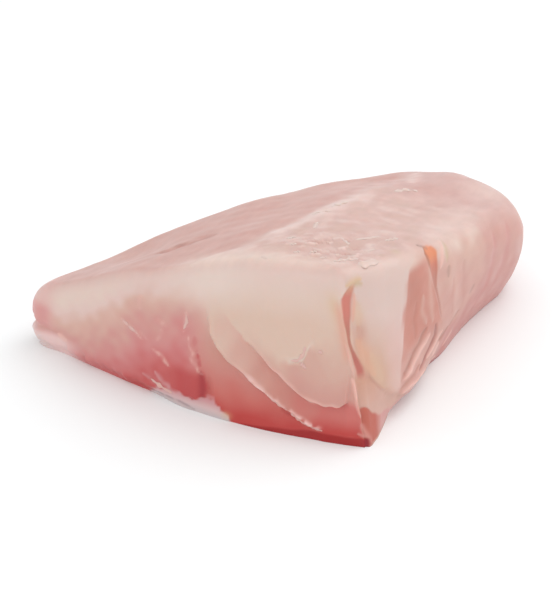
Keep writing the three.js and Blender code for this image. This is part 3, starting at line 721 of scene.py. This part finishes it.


# Cut face: red at the skin side, through rose to cream at the top edge, with a painted highlight along
# that edge; paler towards the tip

cutTones = {
    # by share of the wall's height
    "left": [(0, "red"), (0.12, "lowRose"), (0.27, "brightRose"), (0.4, "rose"), (0.58, "blush"),
             (0.76, "bandTan"), (0.92, "palePink"), (1.1, "cream")],
    # by z, below the lower flake edge
    "under": [(2, "bottomRed"), (7, "underRed"), (12, "underPink"), (17, "bandPink"),
              (24, "bandTan"), (32, "cream")],
    # by along, between the two flake edges
    "band": [(6, "bandRed"), (12, "bandRed"), (19, "bandRose"), (27, "bandPink"),
             (36, "bandTan"), (42, "warmCream")],
    "bandLayers": [("bottomRed", 1, ("z", fall, 2.5, 7.5), ("along", fall, 12, 18))],
    # by z, on the upper flake
    "upper": [(14, "warmCream"), (28, "warmCream"), (38, "cream")],
    "upperLayers": [
        ("splitYellow", 0.6, ("past", bell, 4.2, 1.8), ("z", bell, 33.5, 3.5)),
        ("splitHalo", 0.75, ("past", bell, 2.9, 1.4), ("z", window, 19, 23, 32, 36)),
        ("splitHalo", 0.3, ("along", fall, 4, 7.5), ("z", fall, 14, 24)),
    ],
    # painted highlight along the rounded top edge, stronger near the crest
    "rimHighlights": [
        ("palePink", 0.7, ("share", rise, 0.8, 0.98)),
        ("crestPale", 0.9, ("along", bell, 44, 11), ("share", rise, 0.66, 0.9)),
    ],
}


def cutFaceTone(p):
    c = cutTones
    level = p.share + 0.03 * waves(14, 61, p.along, p.z) + 0.015 * waves(4, 62, p.along, p.z)
    level = level + 0.25 * rise(p.along, 62, 82)
    fibre = waves(4, 66, (0.87 * p.along + 0.49 * p.z) / 4, 0.49 * p.along - 0.87 * p.z)
    level = level + (0.01 * fibre + 0.02 * waves(6, 67, p.along, p.z)) * rise(p.along, 40, 48)
    level = level - 0.19 * bell(p.along, 52, 8.5) * fall(p.share, 0.55, 0.85)
    tone = ramp(level, c["left"])
    # below the lower flake edge
    under = ramp(p.z + 0.5 * waves(9, 63, p.along, p.z), c["under"])
    tone = paint(tone, under, fall(p.along, 40, 50))
    # band between the two flake edges, its border softer higher up
    band = ramp(p.along + 0.8 * waves(9, 64, p.along, p.z), c["band"])
    band = paintLayers(p, band, c["bandLayers"])
    soft = 0.15 + 1.5 * rise(p.z, 15, 26)
    tone = paint(tone, band, rise(p.lowerGap, -soft, soft) * fall(p.along, 42, 47))
    # upper flake, pink below its tear and along its edge
    upper = ramp(p.z + 0.6 * waves(12, 65, p.along, p.z), c["upper"])
    soft = 1 + 7 * fall(p.along, 10, 17)
    belowTear = fall(p.tearGap, -1.6 * soft, 0.5 * soft) * fall(p.along, 19, 27)
    atEdge = 0.8 * fall(p.upperGap, 0, 4) * fall(p.along, 24, 34)
    pink = np.maximum(belowTear, atEdge) * (0.58 + 0.37 * fall(p.upperGap, 1, 8))
    upper = paintLayers(p, paint(upper, "flakePink", pink), c["upperLayers"])
    soft = 0.12 + 1.3 * fall(p.along, 5.5, 8.5)
    tone = paint(tone, upper, rise(p.upperGap, -soft, soft) * fall(p.along, 42, 50))
    return paintLayers(p, tone, c["rimHighlights"])


# Side face: pink wall with leaning bands, rosy recess with painted shade beside the pillar, pinker back
# end and foot, and a dark line along the foot that is partly painted shade

sideTones = {
    "wall": [(0, "edgePink"), (0.15, "sidePink"), (0.6, "sidePink"), (0.88, "sidePale"), (1, "cream")],
    "end": [(0.1, "endRose"), (0.7, "endPink")],
    "wallLayers": [
        ("sideRose", 0.2, ("sideBand", rise, 0.2, 1.6)),
        ("sidePale", 0.25, ("sideBand", fall, -1.6, -0.2)),
        ("sidePale", 0.25, ("ridge",)),
    ],
    "hollow": [("pillarGap", rise, -0.6, 0.8), ("sideGap", fall, -2.5, 1),
               ("z", window, 10, 18, 34, 37)],
    "hollowLayers": [
        ("recess", 0.92, ("hollow",)),
        # painted shade in the recess beside the pillar's edge, where the pillar stands out over it
        ("recessDark", 0.8, ("hollow",), ("deep", bell, 25, 3.6), ("z", bell, 30, 6)),
    ],
    # by z, down the second split; painted shade partway down and on one wall near its top
    "split": [(16, "sideRose"), (29, "recessDark"), (32.5, "sideDeep"), (34.6, "sideOrange")],
    "splitLayers": [("splitBrown", 0.8, ("sideGap", fall, -0.9, -0.3), ("z", rise, 30, 33.5))],
    "splitEndShade": [(4.6, 33.4), (3.6, 34.2), (2.4, 35.6)],  # painted shade where the split ends on the top
}


def sideFaceTone(p):
    s, c = sideFace, sideTones
    side = ramp(p.share + 0.04 * waves(10, 69, p.deep, p.z), c["wall"])
    side = paintLayers(p, side, c["wallLayers"])
    # pink towards the back end and along the foot
    end = rise(p.deep + 0.5 * waves(8, 70, p.z), *s["endDeep"])
    lowTop = s["endLow"] + s["endRise"] * np.maximum(p.deep - s["endRiseFrom"], 0)
    low = fall(p.z - lowTop, -2, 1) * rise(p.deep, 38, 46)
    side = paint(side, ramp(p.share, c["end"]), 0.9 * np.maximum(end, low))
    p.hollow = maskShare(p, c["hollow"])
    side = paintLayers(p, side, c["hollowLayers"])
    side = paintStrokes(side, s["strokes"], p.sideStrokes)
    # dark line along the foot: partly the skin's edge, partly painted shade where the foot draws in under
    # the lip
    thick = 0.8 + 0.8 * window(p.deep, 10, 20, 38, 46)
    return paint(side, "footEdgeShade", 0.9 * fall(p.z, 0.5 * thick, 1.1 * thick) * fall(p.deep, 42, 54))


# Front corner: pillar, web of membrane and the split between pillar and cut face

cornerTones = {
    "pillar": [(4, "pillarLow"), (17, "pillarLow"), (30, "pillar")],
    "pillarLayers": [("pillarPink", 0.7, ("past", fall, -17, -9), ("z", fall, 20, 32))],
    "web": [(9, "webPale"), (16, "web")],
    # below the web's torn edge, by distance past the corner
    "torn": [(4.5, "webOrange"), (8, "edgePink")],
    "split": [(16, "web"), (18, "splitLow"), (21, "splitLow"), (24, "splitDark"),
              (28, "splitDark"), (32, "splitRed"), (36, "splitRed"), (38, "splitTop"), (39.5, "olive")],
    "splitLayers": [
        ("splitDark", 0.6, ("splitSide", fall, -0.9, -0.3), ("z", rise, 28, 31)),
        ("splitHalo", 0.6, ("splitSide", fall, -1, -0.1), ("z", fall, 21, 24)),
    ],
}


def cornerTone(p, tone):
    c, t = cornerSplit, cornerTones
    pillar = paintLayers(p, ramp(p.z - 0.4 * (p.past + 10), t["pillar"]), t["pillarLayers"])
    tone = paint(tone, pillar, p.pillar * p.front * fall(p.lift, 0.3, 1))
    tone = paintStrokes(tone, c["marks"], p.marks)
    tone = paint(tone, ramp(p.z, t["web"]), p.web)
    torn = fall(p.webFoot, -0.5, 0.3) * p.web * rise(p.z, 0, 1)
    tone = paint(tone, ramp(-p.past, t["torn"]), torn)
    split = paintLayers(p, ramp(p.z, t["split"]), t["splitLayers"])
    tone = paint(tone, split, rise(p.split, 0, 0.8))
    return paintStrokes(tone, c["shreds"], p.shreds)


# Low on the cut face: dark muscle, the skin's edge, seams; then painted highlights on the flake edges, and
# the tip

lowTones = {
    "lobeStroke": [(42.9, 4), (43, 7), (42.9, 10.6)],  # dark right side of the lobe
    "lobeLayers": [
        ("lobeRed", 0.9, ("lobe",)),
        ("crimson", 0.85, ("lobeDark",), ("lobeAt", rise, 41.7, 42.4), ("cut",)),
        ("red", 0.9, ("spotAt", block, 3.6), ("z", fall, 2.2, 4.4), ("cut",)),
    ],
    "footLayers": [
        ("deepRed", 0.95, ("footLine",), ("cutColumn",), ("above",)),
        ("cornerRed", 0.7, ("footLine",), ("past", bell, 0.4, 1.4), ("above",)),
    ],
    "skin": [(0.6, "skinGrey"), (1.8, "skinPale"), (3.2, "skinPink"), (4.8, "skinRose")],
    # painted highlights along the lower and upper flake edges and on the tear's lip; the yellow spot is
    # the flesh's own colour
    "edgeLayers": [
        ("yellow", 0.4, ("along", bell, 36.2, 1.3), ("z", bell, 1.4, 0.9286), ("cut",)),
        ("edgeLight", 0.95, ("lowerGap", bell, 0.45, 0.6), ("along", window, 11, 14, 28, 37),
         ("shine",), ("cut",)),
        ("flakeLight", 0.85, ("upperGap", bell, 0.3, 0.5), ("along", window, 8, 9.5, 25, 34), ("cut",)),
        ("cream", 0.6, ("tearGap", bell, 0.3, 0.5), ("tear",)),
    ],
    "fleckStroke": [(89.4, 6.4), (88, 5.6), (86.8, 5.4)],
    "tipLayers": [
        ("flap", 0.8, ("raggedZ", fall, 4, 7), ("along", rise, 80, 90), ("wall",)),
        ("silver", 0.6, ("raggedZ", fall, 2.5, 6.5), ("along", rise, 92, 97), ("wall",)),
        ("flakeLight", 0.8, ("fleck",), ("wall",)),
        ("tipPink", 0.8, ("along", rise, 88, 95), ("z", rise, 6.5, 8.5), ("mostlyWall",)),
        ("tipRed", 0.9, ("along", rise, 89, 94.5), ("z", window, 6, 8, 11.5, 15), ("mostlyWall",)),
    ],
}


def lowTone(p, tone):
    c = lowTones
    p.lobeDark = strokeShare(p.lobeAt, p.z, c["lobeStroke"], 1.2)
    p.spotAt = p.along - 64.5 + 0.6 * waves(4, 73, p.along, p.z)
    tone = paintLayers(p, tone, c["lobeLayers"])
    # dark line along the foot, thinner towards the lobe
    thick = np.clip(0.4 + 0.1 * (32 - p.along), 0, 2.3) + 0.08 * waves(9, 74, p.along)
    p.footLine = fall(p.z, thick - 0.5, thick + 0.2) * rise(thick, 0.1, 0.6)
    tone = paintLayers(p, tone, c["footLayers"])
    tone = paint(tone, ramp(p.z, c["skin"]), 0.95 * p.skinLip)
    tone = paintStrokes(tone, lowForms["strokes"], p.cutStrokes)
    p.shine = rise(waves(3, 71, p.along, p.z), -2, 0.2)
    tone = paintLayers(p, tone, c["edgeLayers"])
    p.wall = (1 - p.lift) * p.above
    p.raggedZ = p.z + 0.3 * waves(7, 77, p.along, p.z)
    p.fleck = strokeShare(p.along, p.z, c["fleckStroke"], 1)
    p.mostlyWall = 1 - 0.6 * p.lift
    return paintLayers(p, tone, c["tipLayers"])


# Top: pink with paler and browner patches, a rosier far strip, painted shade in the groove and the pits,
# and cream towards the cut face's rim that is partly a painted sheen

topTones = {
    "backNotch": [(27.5, 87.5), (26.4, 82), (24.6, 76)],
    "layers": [
        ("topPale", 0.6, ("patch", rise, 0.1, 1.6)),
        ("topBeige", 0.7, ("patch", fall, -1.6, -0.1)),
        ("stripPink", 0.85, ("strip",)),
        ("streakPink", 0.3, ("strip",), ("streak", rise, 0.4, 1.8)),
        ("ridgeLight", 0.75, ("crest",), ("deep", window, 14, 28, 52, 64)),
        # painted shade in the groove
        ("streakPink", 0.9, ("groove",)),
        # paler towards the cut face's rim: partly paler flesh, partly a painted sheen along the rounded
        # edge
        ("cream", 0.9, ("deep", fall, 4, 15), ("along", window, 8, 20, 44, 62)),
        # back end
        ("backPink", 0.8, ("deep", rise, 56, 78), ("nearPart",)),
        ("streakPink", 0.3, ("blotch", rise, 0.6, 1.8), ("deep", rise, 46, 66)),
        ("stripPink", 0.7, ("along", bell, 21, 7), ("deep", bell, 75.5, 6), ("onTop",)),
        ("topPale", 0.8, ("along", bell, 6, 6.5), ("deep", bell, 86, 7), ("onTop",)),
        ("ridgeLight", 0.7, ("backNotch",), ("onTop",)),
        ("topPale", 0.7, ("along", bell, 4, 5), ("deep", window, 36, 44, 64, 76)),
        # torn membrane with painted shade in the pits between, and stains near the front rim
        ("membrane", 0.75, ("crumb",)),
        ("streakPink", 0.5, ("pit",)),
        ("brown", 0.75, ("along", bell, 7.6, 1.1), ("deep", bell, 20.4, 0.6875), ("lift",)),
        ("olive", 0.8, ("along", bell, 6, 1.3), ("deep", bell, 25.2, 1.3), ("lift",)),
    ],
}


def topTone(p):
    c = topTones
    p.crest = bell(p.pastCrest + 0.6 * waves(6, 78, p.x, p.y), -1, 2.6) * p.crestSpan
    p.nearPart = 1 - p.strip
    p.blotch = waves(9, 76, p.x, p.y)
    p.backNotch = strokeShare(p.along, p.deep, c["backNotch"], 1.6)
    tone = np.broadcast_to(linear("topPink"), p.z.shape + (3,))
    return paintLayers(p, tone, c["layers"])


# All faces together, each over the one before it

backTones = [(0, "brightRose"), (0.15, "rose"), (0.45, "endPink"), (0.8, "topPink")]


def fleshTone(p):
    tone = topTone(p)
    wall = fall(p.lift, 0.2, 1) * p.above
    tone = paint(tone, ramp(p.share + 0.06 * waves(12, 68, p.along, p.deep, p.z), backTones), wall)
    tone = paint(tone, sideFaceTone(p), p.sideColumn * wall)
    tone = paint(tone, cutFaceTone(p), p.cutColumn * wall)
    tone = cornerTone(p, tone)
    split = paintLayers(p, ramp(p.z, sideTones["split"]), sideTones["splitLayers"])
    tone = paint(tone, split, rise(p.sideSplit, 0.1, 0.7))
    # painted shade where the second split ends on the top
    rim = strokeShare(p.along, p.deep, sideTones["splitEndShade"], 0.5) * p.onTop
    tone = paint(tone, "sideDark", 0.9 * rim)
    return paint(lowTone(p, tone), "silverGrey", p.under)


# One closed mesh from rows and columns

def standOut(p, raised):
    # relief pushes walls away from the middle and the top straight up
    up = rise(p.lift, 0, 1)
    share = raised / np.hypot(1 - up, up)
    along = p.along + p.outward[:, 0] * share * (1 - up)
    deep = p.deep + p.outward[:, 1] * share * (1 - up)
    return np.stack([*toPlan(along, deep), p.z + share * up], -1)


def smoothMesh(name, points, faces):
    mesh = bpy.data.meshes.new(name)
    mesh.from_pydata(points.tolist(), [], faces, shade_flat=False)
    mesh.validate()
    return mesh


def gridMesh(name, rows, low, high):
    # quads between rows, and a fan to one point below the first row and above the last
    rowCount, count = rows.shape[:2]
    points = np.concatenate([rows.reshape(-1, 3), [low, high]])
    lowIndex, highIndex = rowCount * count, rowCount * count + 1
    r, c = np.meshgrid(np.arange(rowCount - 1), np.arange(count), indexing="ij")
    n = (c + 1) % count
    quads = np.stack([r * count + c, r * count + n, (r + 1) * count + n, (r + 1) * count + c], -1)
    quads = quads.reshape(-1, 4)
    c = np.arange(count)
    n = (c + 1) % count
    last = (rowCount - 1) * count
    fans = np.concatenate([
        np.stack([np.full(count, lowIndex), n, c], -1),
        np.stack([last + c, last + n, np.full(count, highIndex)], -1),
    ])
    return smoothMesh(name, points, quads.tolist() + fans.tolist())


def addColour(mesh, name, colours):
    colours = np.concatenate([colours, np.ones((len(colours), 1))], 1)
    attribute = mesh.attributes.new(name, "FLOAT_COLOR", "POINT")
    attribute.data.foreach_set("color", colours.astype(np.float32).ravel())


def addShare(mesh, name, rows, low, high):
    attribute = mesh.attributes.new(name, "FLOAT", "POINT")
    attribute.data.foreach_set("value", np.append(rows.ravel(), [low, high]).astype(np.float32))


def makeFillet():
    rows = standOut(plain, raised)
    boxLow, boxHigh = (np.array(v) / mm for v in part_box("fillet"))
    flat = rows.reshape(-1, 3)
    # the right end and the front corner lie where the solid's do
    rows = rows + np.array([boxHigh[0] - flat[:, 0].max(), boxLow[1] - flat[:, 1].min(), 0])
    low = rows[0].mean(0) * (1, 1, 0)
    high = rows[-1].mean(0)
    mesh = gridMesh("flesh", rows * mm, low * mm, high * mm)
    tone = fleshTone(plain)
    ends = [tone[0].mean(0), tone[-1].mean(0)]
    addColour(mesh, "fleshTone", np.concatenate([tone.reshape(-1, 3), ends]))
    wet = 0.5 + 0.2 * waves(6, 81, plain.along, plain.deep, plain.z)
    wet = wet + 0.3 * (plain.split + np.clip(plain.seam, 0, 1))
    addShare(mesh, "wet", np.clip(wet, 0, 1), 0.5, 0.5)
    fibrous = 0.15 + 0.85 * plain.onTop + 0.3 * plain.side * (1 - plain.pillar)
    addShare(mesh, "fibrous", np.clip(fibrous, 0, 1), 0, 1)
    mesh.set_sharp_from_angle(angle=math.radians(70))
    return addObject("flesh", mesh), rows


# Moist flesh: tone from the piece's own colours, fine fibre grain, soft light under the surface

fleshFinish = {
    "fibreScale": 430, "fibreDetail": 3, "fibreDepth": 0.00005,
    "fibreStretch": (2.2, 1, 1),  # longer along the side face
    "fibreTurn": (0, 0, math.radians(form["heading"])),
    "grainScale": 1500, "grainDetail": 2, "grainDepth": 0.00003,
    "toneSwing": 0.04,
    "roughLow": 0.34, "roughHigh": 0.52,
    "surface": {
        "Specular IOR Level": 0.4,
        "Subsurface Weight": 0.25, "Subsurface Radius": (1, 0.42, 0.30), "Subsurface Scale": 0.0017,
        "Coat Weight": 0.12, "Coat Roughness": 0.18,
    },
}


def setInputs(tree, node, inputs):
    # another node's output is linked, anything else is set on the socket
    for name, value in inputs.items():
        if isinstance(value, bpy.types.NodeSocket):
            tree.links.new(value, node.inputs[name])
        else:
            node.inputs[name].default_value = value


def addNode(tree, kind, inputs, **settings):
    node = tree.nodes.new("ShaderNode" + kind)
    for name, value in settings.items():
        setattr(node, name, value)
    setInputs(tree, node, inputs)
    return node


def newMaterial(name, surface):
    material = bpy.data.materials.new(name)
    material.use_nodes = True
    shader = material.node_tree.nodes["Principled BSDF"]
    setInputs(material.node_tree, shader, surface)
    return material, material.node_tree, shader


def fleshMaterial(f):
    material, tree, shader = newMaterial("moistFlesh", f["surface"])
    where = addNode(tree, "TexCoord", {}).outputs["Object"]
    stretch = addNode(tree, "Mapping", {
        "Vector": where, "Scale": f["fibreStretch"], "Rotation": f["fibreTurn"]}, vector_type="TEXTURE")
    fibre = addNode(tree, "TexNoise", {
        "Vector": stretch.outputs["Vector"], "Scale": f["fibreScale"],
        "Detail": f["fibreDetail"]}).outputs["Fac"]
    grain = addNode(tree, "TexNoise", {
        "Vector": where, "Scale": f["grainScale"], "Detail": f["grainDetail"]}).outputs["Fac"]
    fibrous = addNode(tree, "Attribute", {}, attribute_name="fibrous").outputs["Fac"]
    wet = addNode(tree, "Attribute", {}, attribute_name="wet").outputs["Fac"]

    # tone times 1 + fibre's swing where the flesh is fibrous
    tone = addNode(tree, "Attribute", {}, attribute_name="fleshTone")
    swing = addNode(tree, "MapRange", {
        "Value": fibre, "From Min": 0.3, "From Max": 0.7,
        "To Min": -f["toneSwing"], "To Max": f["toneSwing"]}).outputs["Result"]
    factor = addNode(tree, "Math", {0: swing, 1: fibrous, 2: 1}, operation="MULTIPLY_ADD")
    vary = addNode(tree, "VectorMath", {
        0: tone.outputs["Color"], "Scale": factor.outputs["Value"]}, operation="SCALE")
    rough = addNode(tree, "MapRange", {"Value": wet, "To Min": f["roughHigh"], "To Max": f["roughLow"]})
    fine = addNode(tree, "Bump", {"Height": grain, "Strength": 1, "Distance": f["grainDepth"]})
    coarse = addNode(tree, "Bump", {
        "Height": fibre, "Strength": fibrous, "Distance": f["fibreDepth"],
        "Normal": fine.outputs["Normal"]})
    setInputs(tree, shader, {
        "Base Color": vary.outputs["Vector"], "Roughness": rough.outputs["Result"],
        "Normal": coarse.outputs["Normal"]})
    return material


flesh, fleshRows = makeFillet()
flesh.data.materials.append(fleshMaterial(fleshFinish))
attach(flesh, "root")
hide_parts("fillet")
print("flesh:", len(flesh.data.vertices), "points")


# Shreds of membrane: a flat oval carried along a path that lies on the flesh, thin at both ends

membrane = {
    "steps": 22,
    "sides": 10,
    "flat": 0.26,  # thickness of the oval against its width
    "sunk": 0.1,  # its middle lies this share of its thickness under the flesh
    "ragged": 0.3,
    "topTone": "topShred", "cutTone": "seam",
    "topReach": 1, "cutReach": 0.4,  # how far off the flesh still counts for a shred's place
    "surface": {"Roughness": 0.32, "Subsurface Weight": 0.2, "Subsurface Radius": (1, 0.42, 0.30),
                "Subsurface Scale": 0.0017, "Coat Weight": 0.15},
    # on the top as (along, deep), on the cut face as (along, z), then half width
    "top": [
        ([(15.4, 10.2), (14.3, 12.4), (11.4, 15.2)], 0.8),
        ([(10.6, 11.2), (9.2, 12.8), (7.2, 17.2)], 1.15),
        ([(17.8, 26.2), (15.7, 28.7), (13.8, 32.2)], 0.5),
        ([(20.6, 25), (19, 23.9), (17.5, 22.6)], 0.45),
        ([(32.9, 19), (32, 20.2), (31, 21.2)], 0.55), ([(29.8, 15.2), (29.2, 16), (28.7, 16.9)], 0.5),
        ([(27, 11.6), (26.4, 12.2), (25.7, 12.9)], 0.55),
        ([(23.5, 13.4), (22.8, 14.1), (22.2, 14.8)], 0.55),
        ([(33.2, 7.4), (32.2, 6.8), (31, 6.2)], 0.5), ([(31, 32.8), (30.6, 31), (29.9, 28.4)], 0.5),
        ([(35, 37.2), (33.1, 39.9), (31, 41.2)], 0.65),
        ([(32.6, 43.6), (31.4, 46.6), (30.5, 50.4)], 0.65),
        ([(24.6, 65), (22.7, 69.5), (20.1, 71)], 0.7), ([(11.6, 30.4), (10.6, 32.4), (9.6, 34.4)], 0.5),
        ([(19.8, 11.4), (19.2, 12), (18.4, 12.6)], 0.4), ([(12.4, 21), (11.6, 22.6), (11.2, 24)], 0.4),
    ],
    "cut": [
        ([(26.4, 8.8), (23.5, 7.3), (20.8, 5.9)], 0.4), ([(19.8, 5.3), (17.6, 4.3), (15.6, 3.4)], 0.6),
        ([(16, 3.7), (14, 3.2), (11.6, 2.8)], 0.4), ([(30.4, 11.5), (28.8, 10.6), (27.2, 9.8)], 0.3),
        ([(17.8, 23.6), (18.2, 21.4), (19.4, 19.9), (21.2, 19.6)], 0.4),
        ([(19, 19.6), (18.2, 19), (17.2, 18.2)], 0.4),
        ([(14.6, 22.8), (14.2, 22.5), (13.7, 22.2)], 0.4), ([(58.6, 4.7), (55, 3.6), (51.6, 2.9)], 0.4),
        ([(49.7, 24), (49.3, 22), (50.1, 20)], 0.35), ([(67.8, 17.5), (65.3, 16.3), (63, 15.2)], 0.35),
    ],
}


def outwardOf(rows):
    # square to the surface, from its two directions on the grid
    acrossRow = np.roll(rows, -1, 1) - np.roll(rows, 1, 1)
    upColumn = np.gradient(rows, axis=0)
    normal = np.cross(acrossRow, upColumn)
    return normal / np.maximum(np.linalg.norm(normal, axis=-1, keepdims=True), 1e-9)


def layOn(points, at, known, steps, reach):
    # even steps along the bent line, each carried to the flesh by a plane fitted to what lies near,
    # where a point at distance d counts as exp(-(d / reach)^2)
    points = np.array(points)
    gone = np.append(0, np.cumsum(np.hypot(*np.diff(points, axis=0).T)))
    way = np.linspace(0, gone[-1], steps)
    line = np.stack([np.interp(way, gone, points[:, i]) for i in range(2)], -1)
    near = np.all((at > line.min(0) - 4 * reach) & (at < line.max(0) + 4 * reach), axis=1)
    away = at[near] - line[:, None]
    weight = hump(np.linalg.norm(away, axis=-1), reach)
    terms = np.concatenate([np.ones_like(away[..., :1]), away], -1)
    weighted = (terms * weight[..., None]).transpose(0, 2, 1)
    fitted = np.linalg.solve(weighted @ terms, weighted @ known[near])[:, 0]
    spine, normal = fitted[:, :3], fitted[:, 3:]
    return spine, normal / np.linalg.norm(normal, axis=1, keepdims=True)


def ovalRings(spine, normal, half, seed):
    # half width follows the square root of an arch, made ragged; the oval lies flat on the flesh
    m = membrane
    share = np.linspace(0, 1, m["steps"])
    width = half * (0.06 + np.sqrt(arch(share))) * (1 + m["ragged"] * waves(0.35, seed, share))
    width = np.maximum(width, 0.05 * half)[:, None, None]
    path = np.gradient(spine, axis=0)
    path /= np.linalg.norm(path, axis=1, keepdims=True)
    side = np.cross(path, normal)
    angle = (2 * math.pi * np.arange(m["sides"]) / m["sides"])[None, :, None]
    lift = -half * m["flat"] * (m["sunk"] + 0.15 * waves(0.5, seed + 1, share))
    middle = spine + normal * lift[:, None]
    oval = side[:, None] * np.cos(angle) + m["flat"] * normal[:, None] * np.sin(angle)
    return middle[:, None] + width * oval


def makeShreds(rows):
    # rings of all shreds in one array, quads between them and a flat end on each side
    m = membrane
    normals = outwardOf(rows)
    rings, colours = [], []
    known = np.concatenate([rows, normals], -1)
    for name, v, here in (("top", plain.deep, plain.onTop), ("cut", plain.z, plain.cut)):
        chosen = here > 0.3
        at = np.stack([plain.along[chosen], v[chosen]], -1)
        for points, half in m[name]:
            spine, normal = layOn(points, at, known[chosen], m["steps"], m[name + "Reach"])
            rings.append(ovalRings(spine, normal, half, 200 + len(rings)))
            colours.append(linear(m[name + "Tone"]))
    rings = np.array(rings)
    count, steps, sides = rings.shape[:3]
    index = np.arange(count * steps * sides).reshape(count, steps, sides)
    turned = np.roll(index, -1, 2)
    quads = np.stack([index[:, :-1], index[:, 1:], turned[:, 1:], turned[:, :-1]], -1).reshape(-1, 4)
    ends = np.concatenate([index[:, 0], index[:, -1, ::-1]])
    mesh = smoothMesh("membrane", rings.reshape(-1, 3) * mm, quads.tolist() + ends.tolist())
    addColour(mesh, "membraneTone", np.repeat(colours, steps * sides, 0))
    return addObject("membrane", mesh)


def membraneMaterial(m):
    material, tree, shader = newMaterial("moistMembrane", m["surface"])
    tone = addNode(tree, "Attribute", {}, attribute_name="membraneTone")
    setInputs(tree, shader, {"Base Color": tone.outputs["Color"]})
    return material


shreds = makeShreds(fleshRows)
shreds.data.materials.append(membraneMaterial(membrane))
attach(shreds, "root")
print("membrane:", len(shreds.data.vertices), "points")


# White table and soft light from all round

studio = {
    "tableSize": 6,
    "tableSurface": {"Base Color": (0.915, 0.935, 0.94, 1), "Roughness": 0.6, "Specular IOR Level": 0.2},
    "skyStrength": 0.92,
    "lampAim": (0, 0, 0.02),
    "lamps": [  # name, place in metres, size in metres, watts
        ("overhead", (0.5, 0.2, 0.75), 0.9, 2.9),
        ("front", (-0.5, -0.8, 0.5), 0.8, 0.85),
    ],
}


def makeTable(s):
    half = s["tableSize"] / 2
    corners = np.array([(-half, -half, 0), (half, -half, 0), (half, half, 0), (-half, half, 0)])
    mesh = bpy.data.meshes.new("table")
    mesh.from_pydata(corners.tolist(), [], [(0, 1, 2, 3)])
    material, _, _ = newMaterial("whiteTable", s["tableSurface"])
    mesh.materials.append(material)
    table = addObject("table", mesh)


def makeLight(s):
    world = bpy.data.worlds.new("whiteRoom")
    world.use_nodes = True
    sky = world.node_tree.nodes["Background"]
    sky.inputs["Color"].default_value = (1, 1, 1, 1)
    sky.inputs["Strength"].default_value = s["skyStrength"]
    bpy.context.scene.world = world
    for name, spot, size, watts in s["lamps"]:
        data = bpy.data.lights.new(name, "AREA")
        data.shape = "DISK"
        data.size = size
        data.energy = watts
        lamp = addObject(name, data)
        lamp.location = spot
        lamp.rotation_mode = "QUATERNION"
        lamp.rotation_quaternion = (Vector(s["lampAim"]) - Vector(spot)).to_track_quat("-Z", "Y")


makeTable(studio)
makeLight(studio)
bpy.context.scene.view_settings.view_transform = "Standard"
print("table and light made")
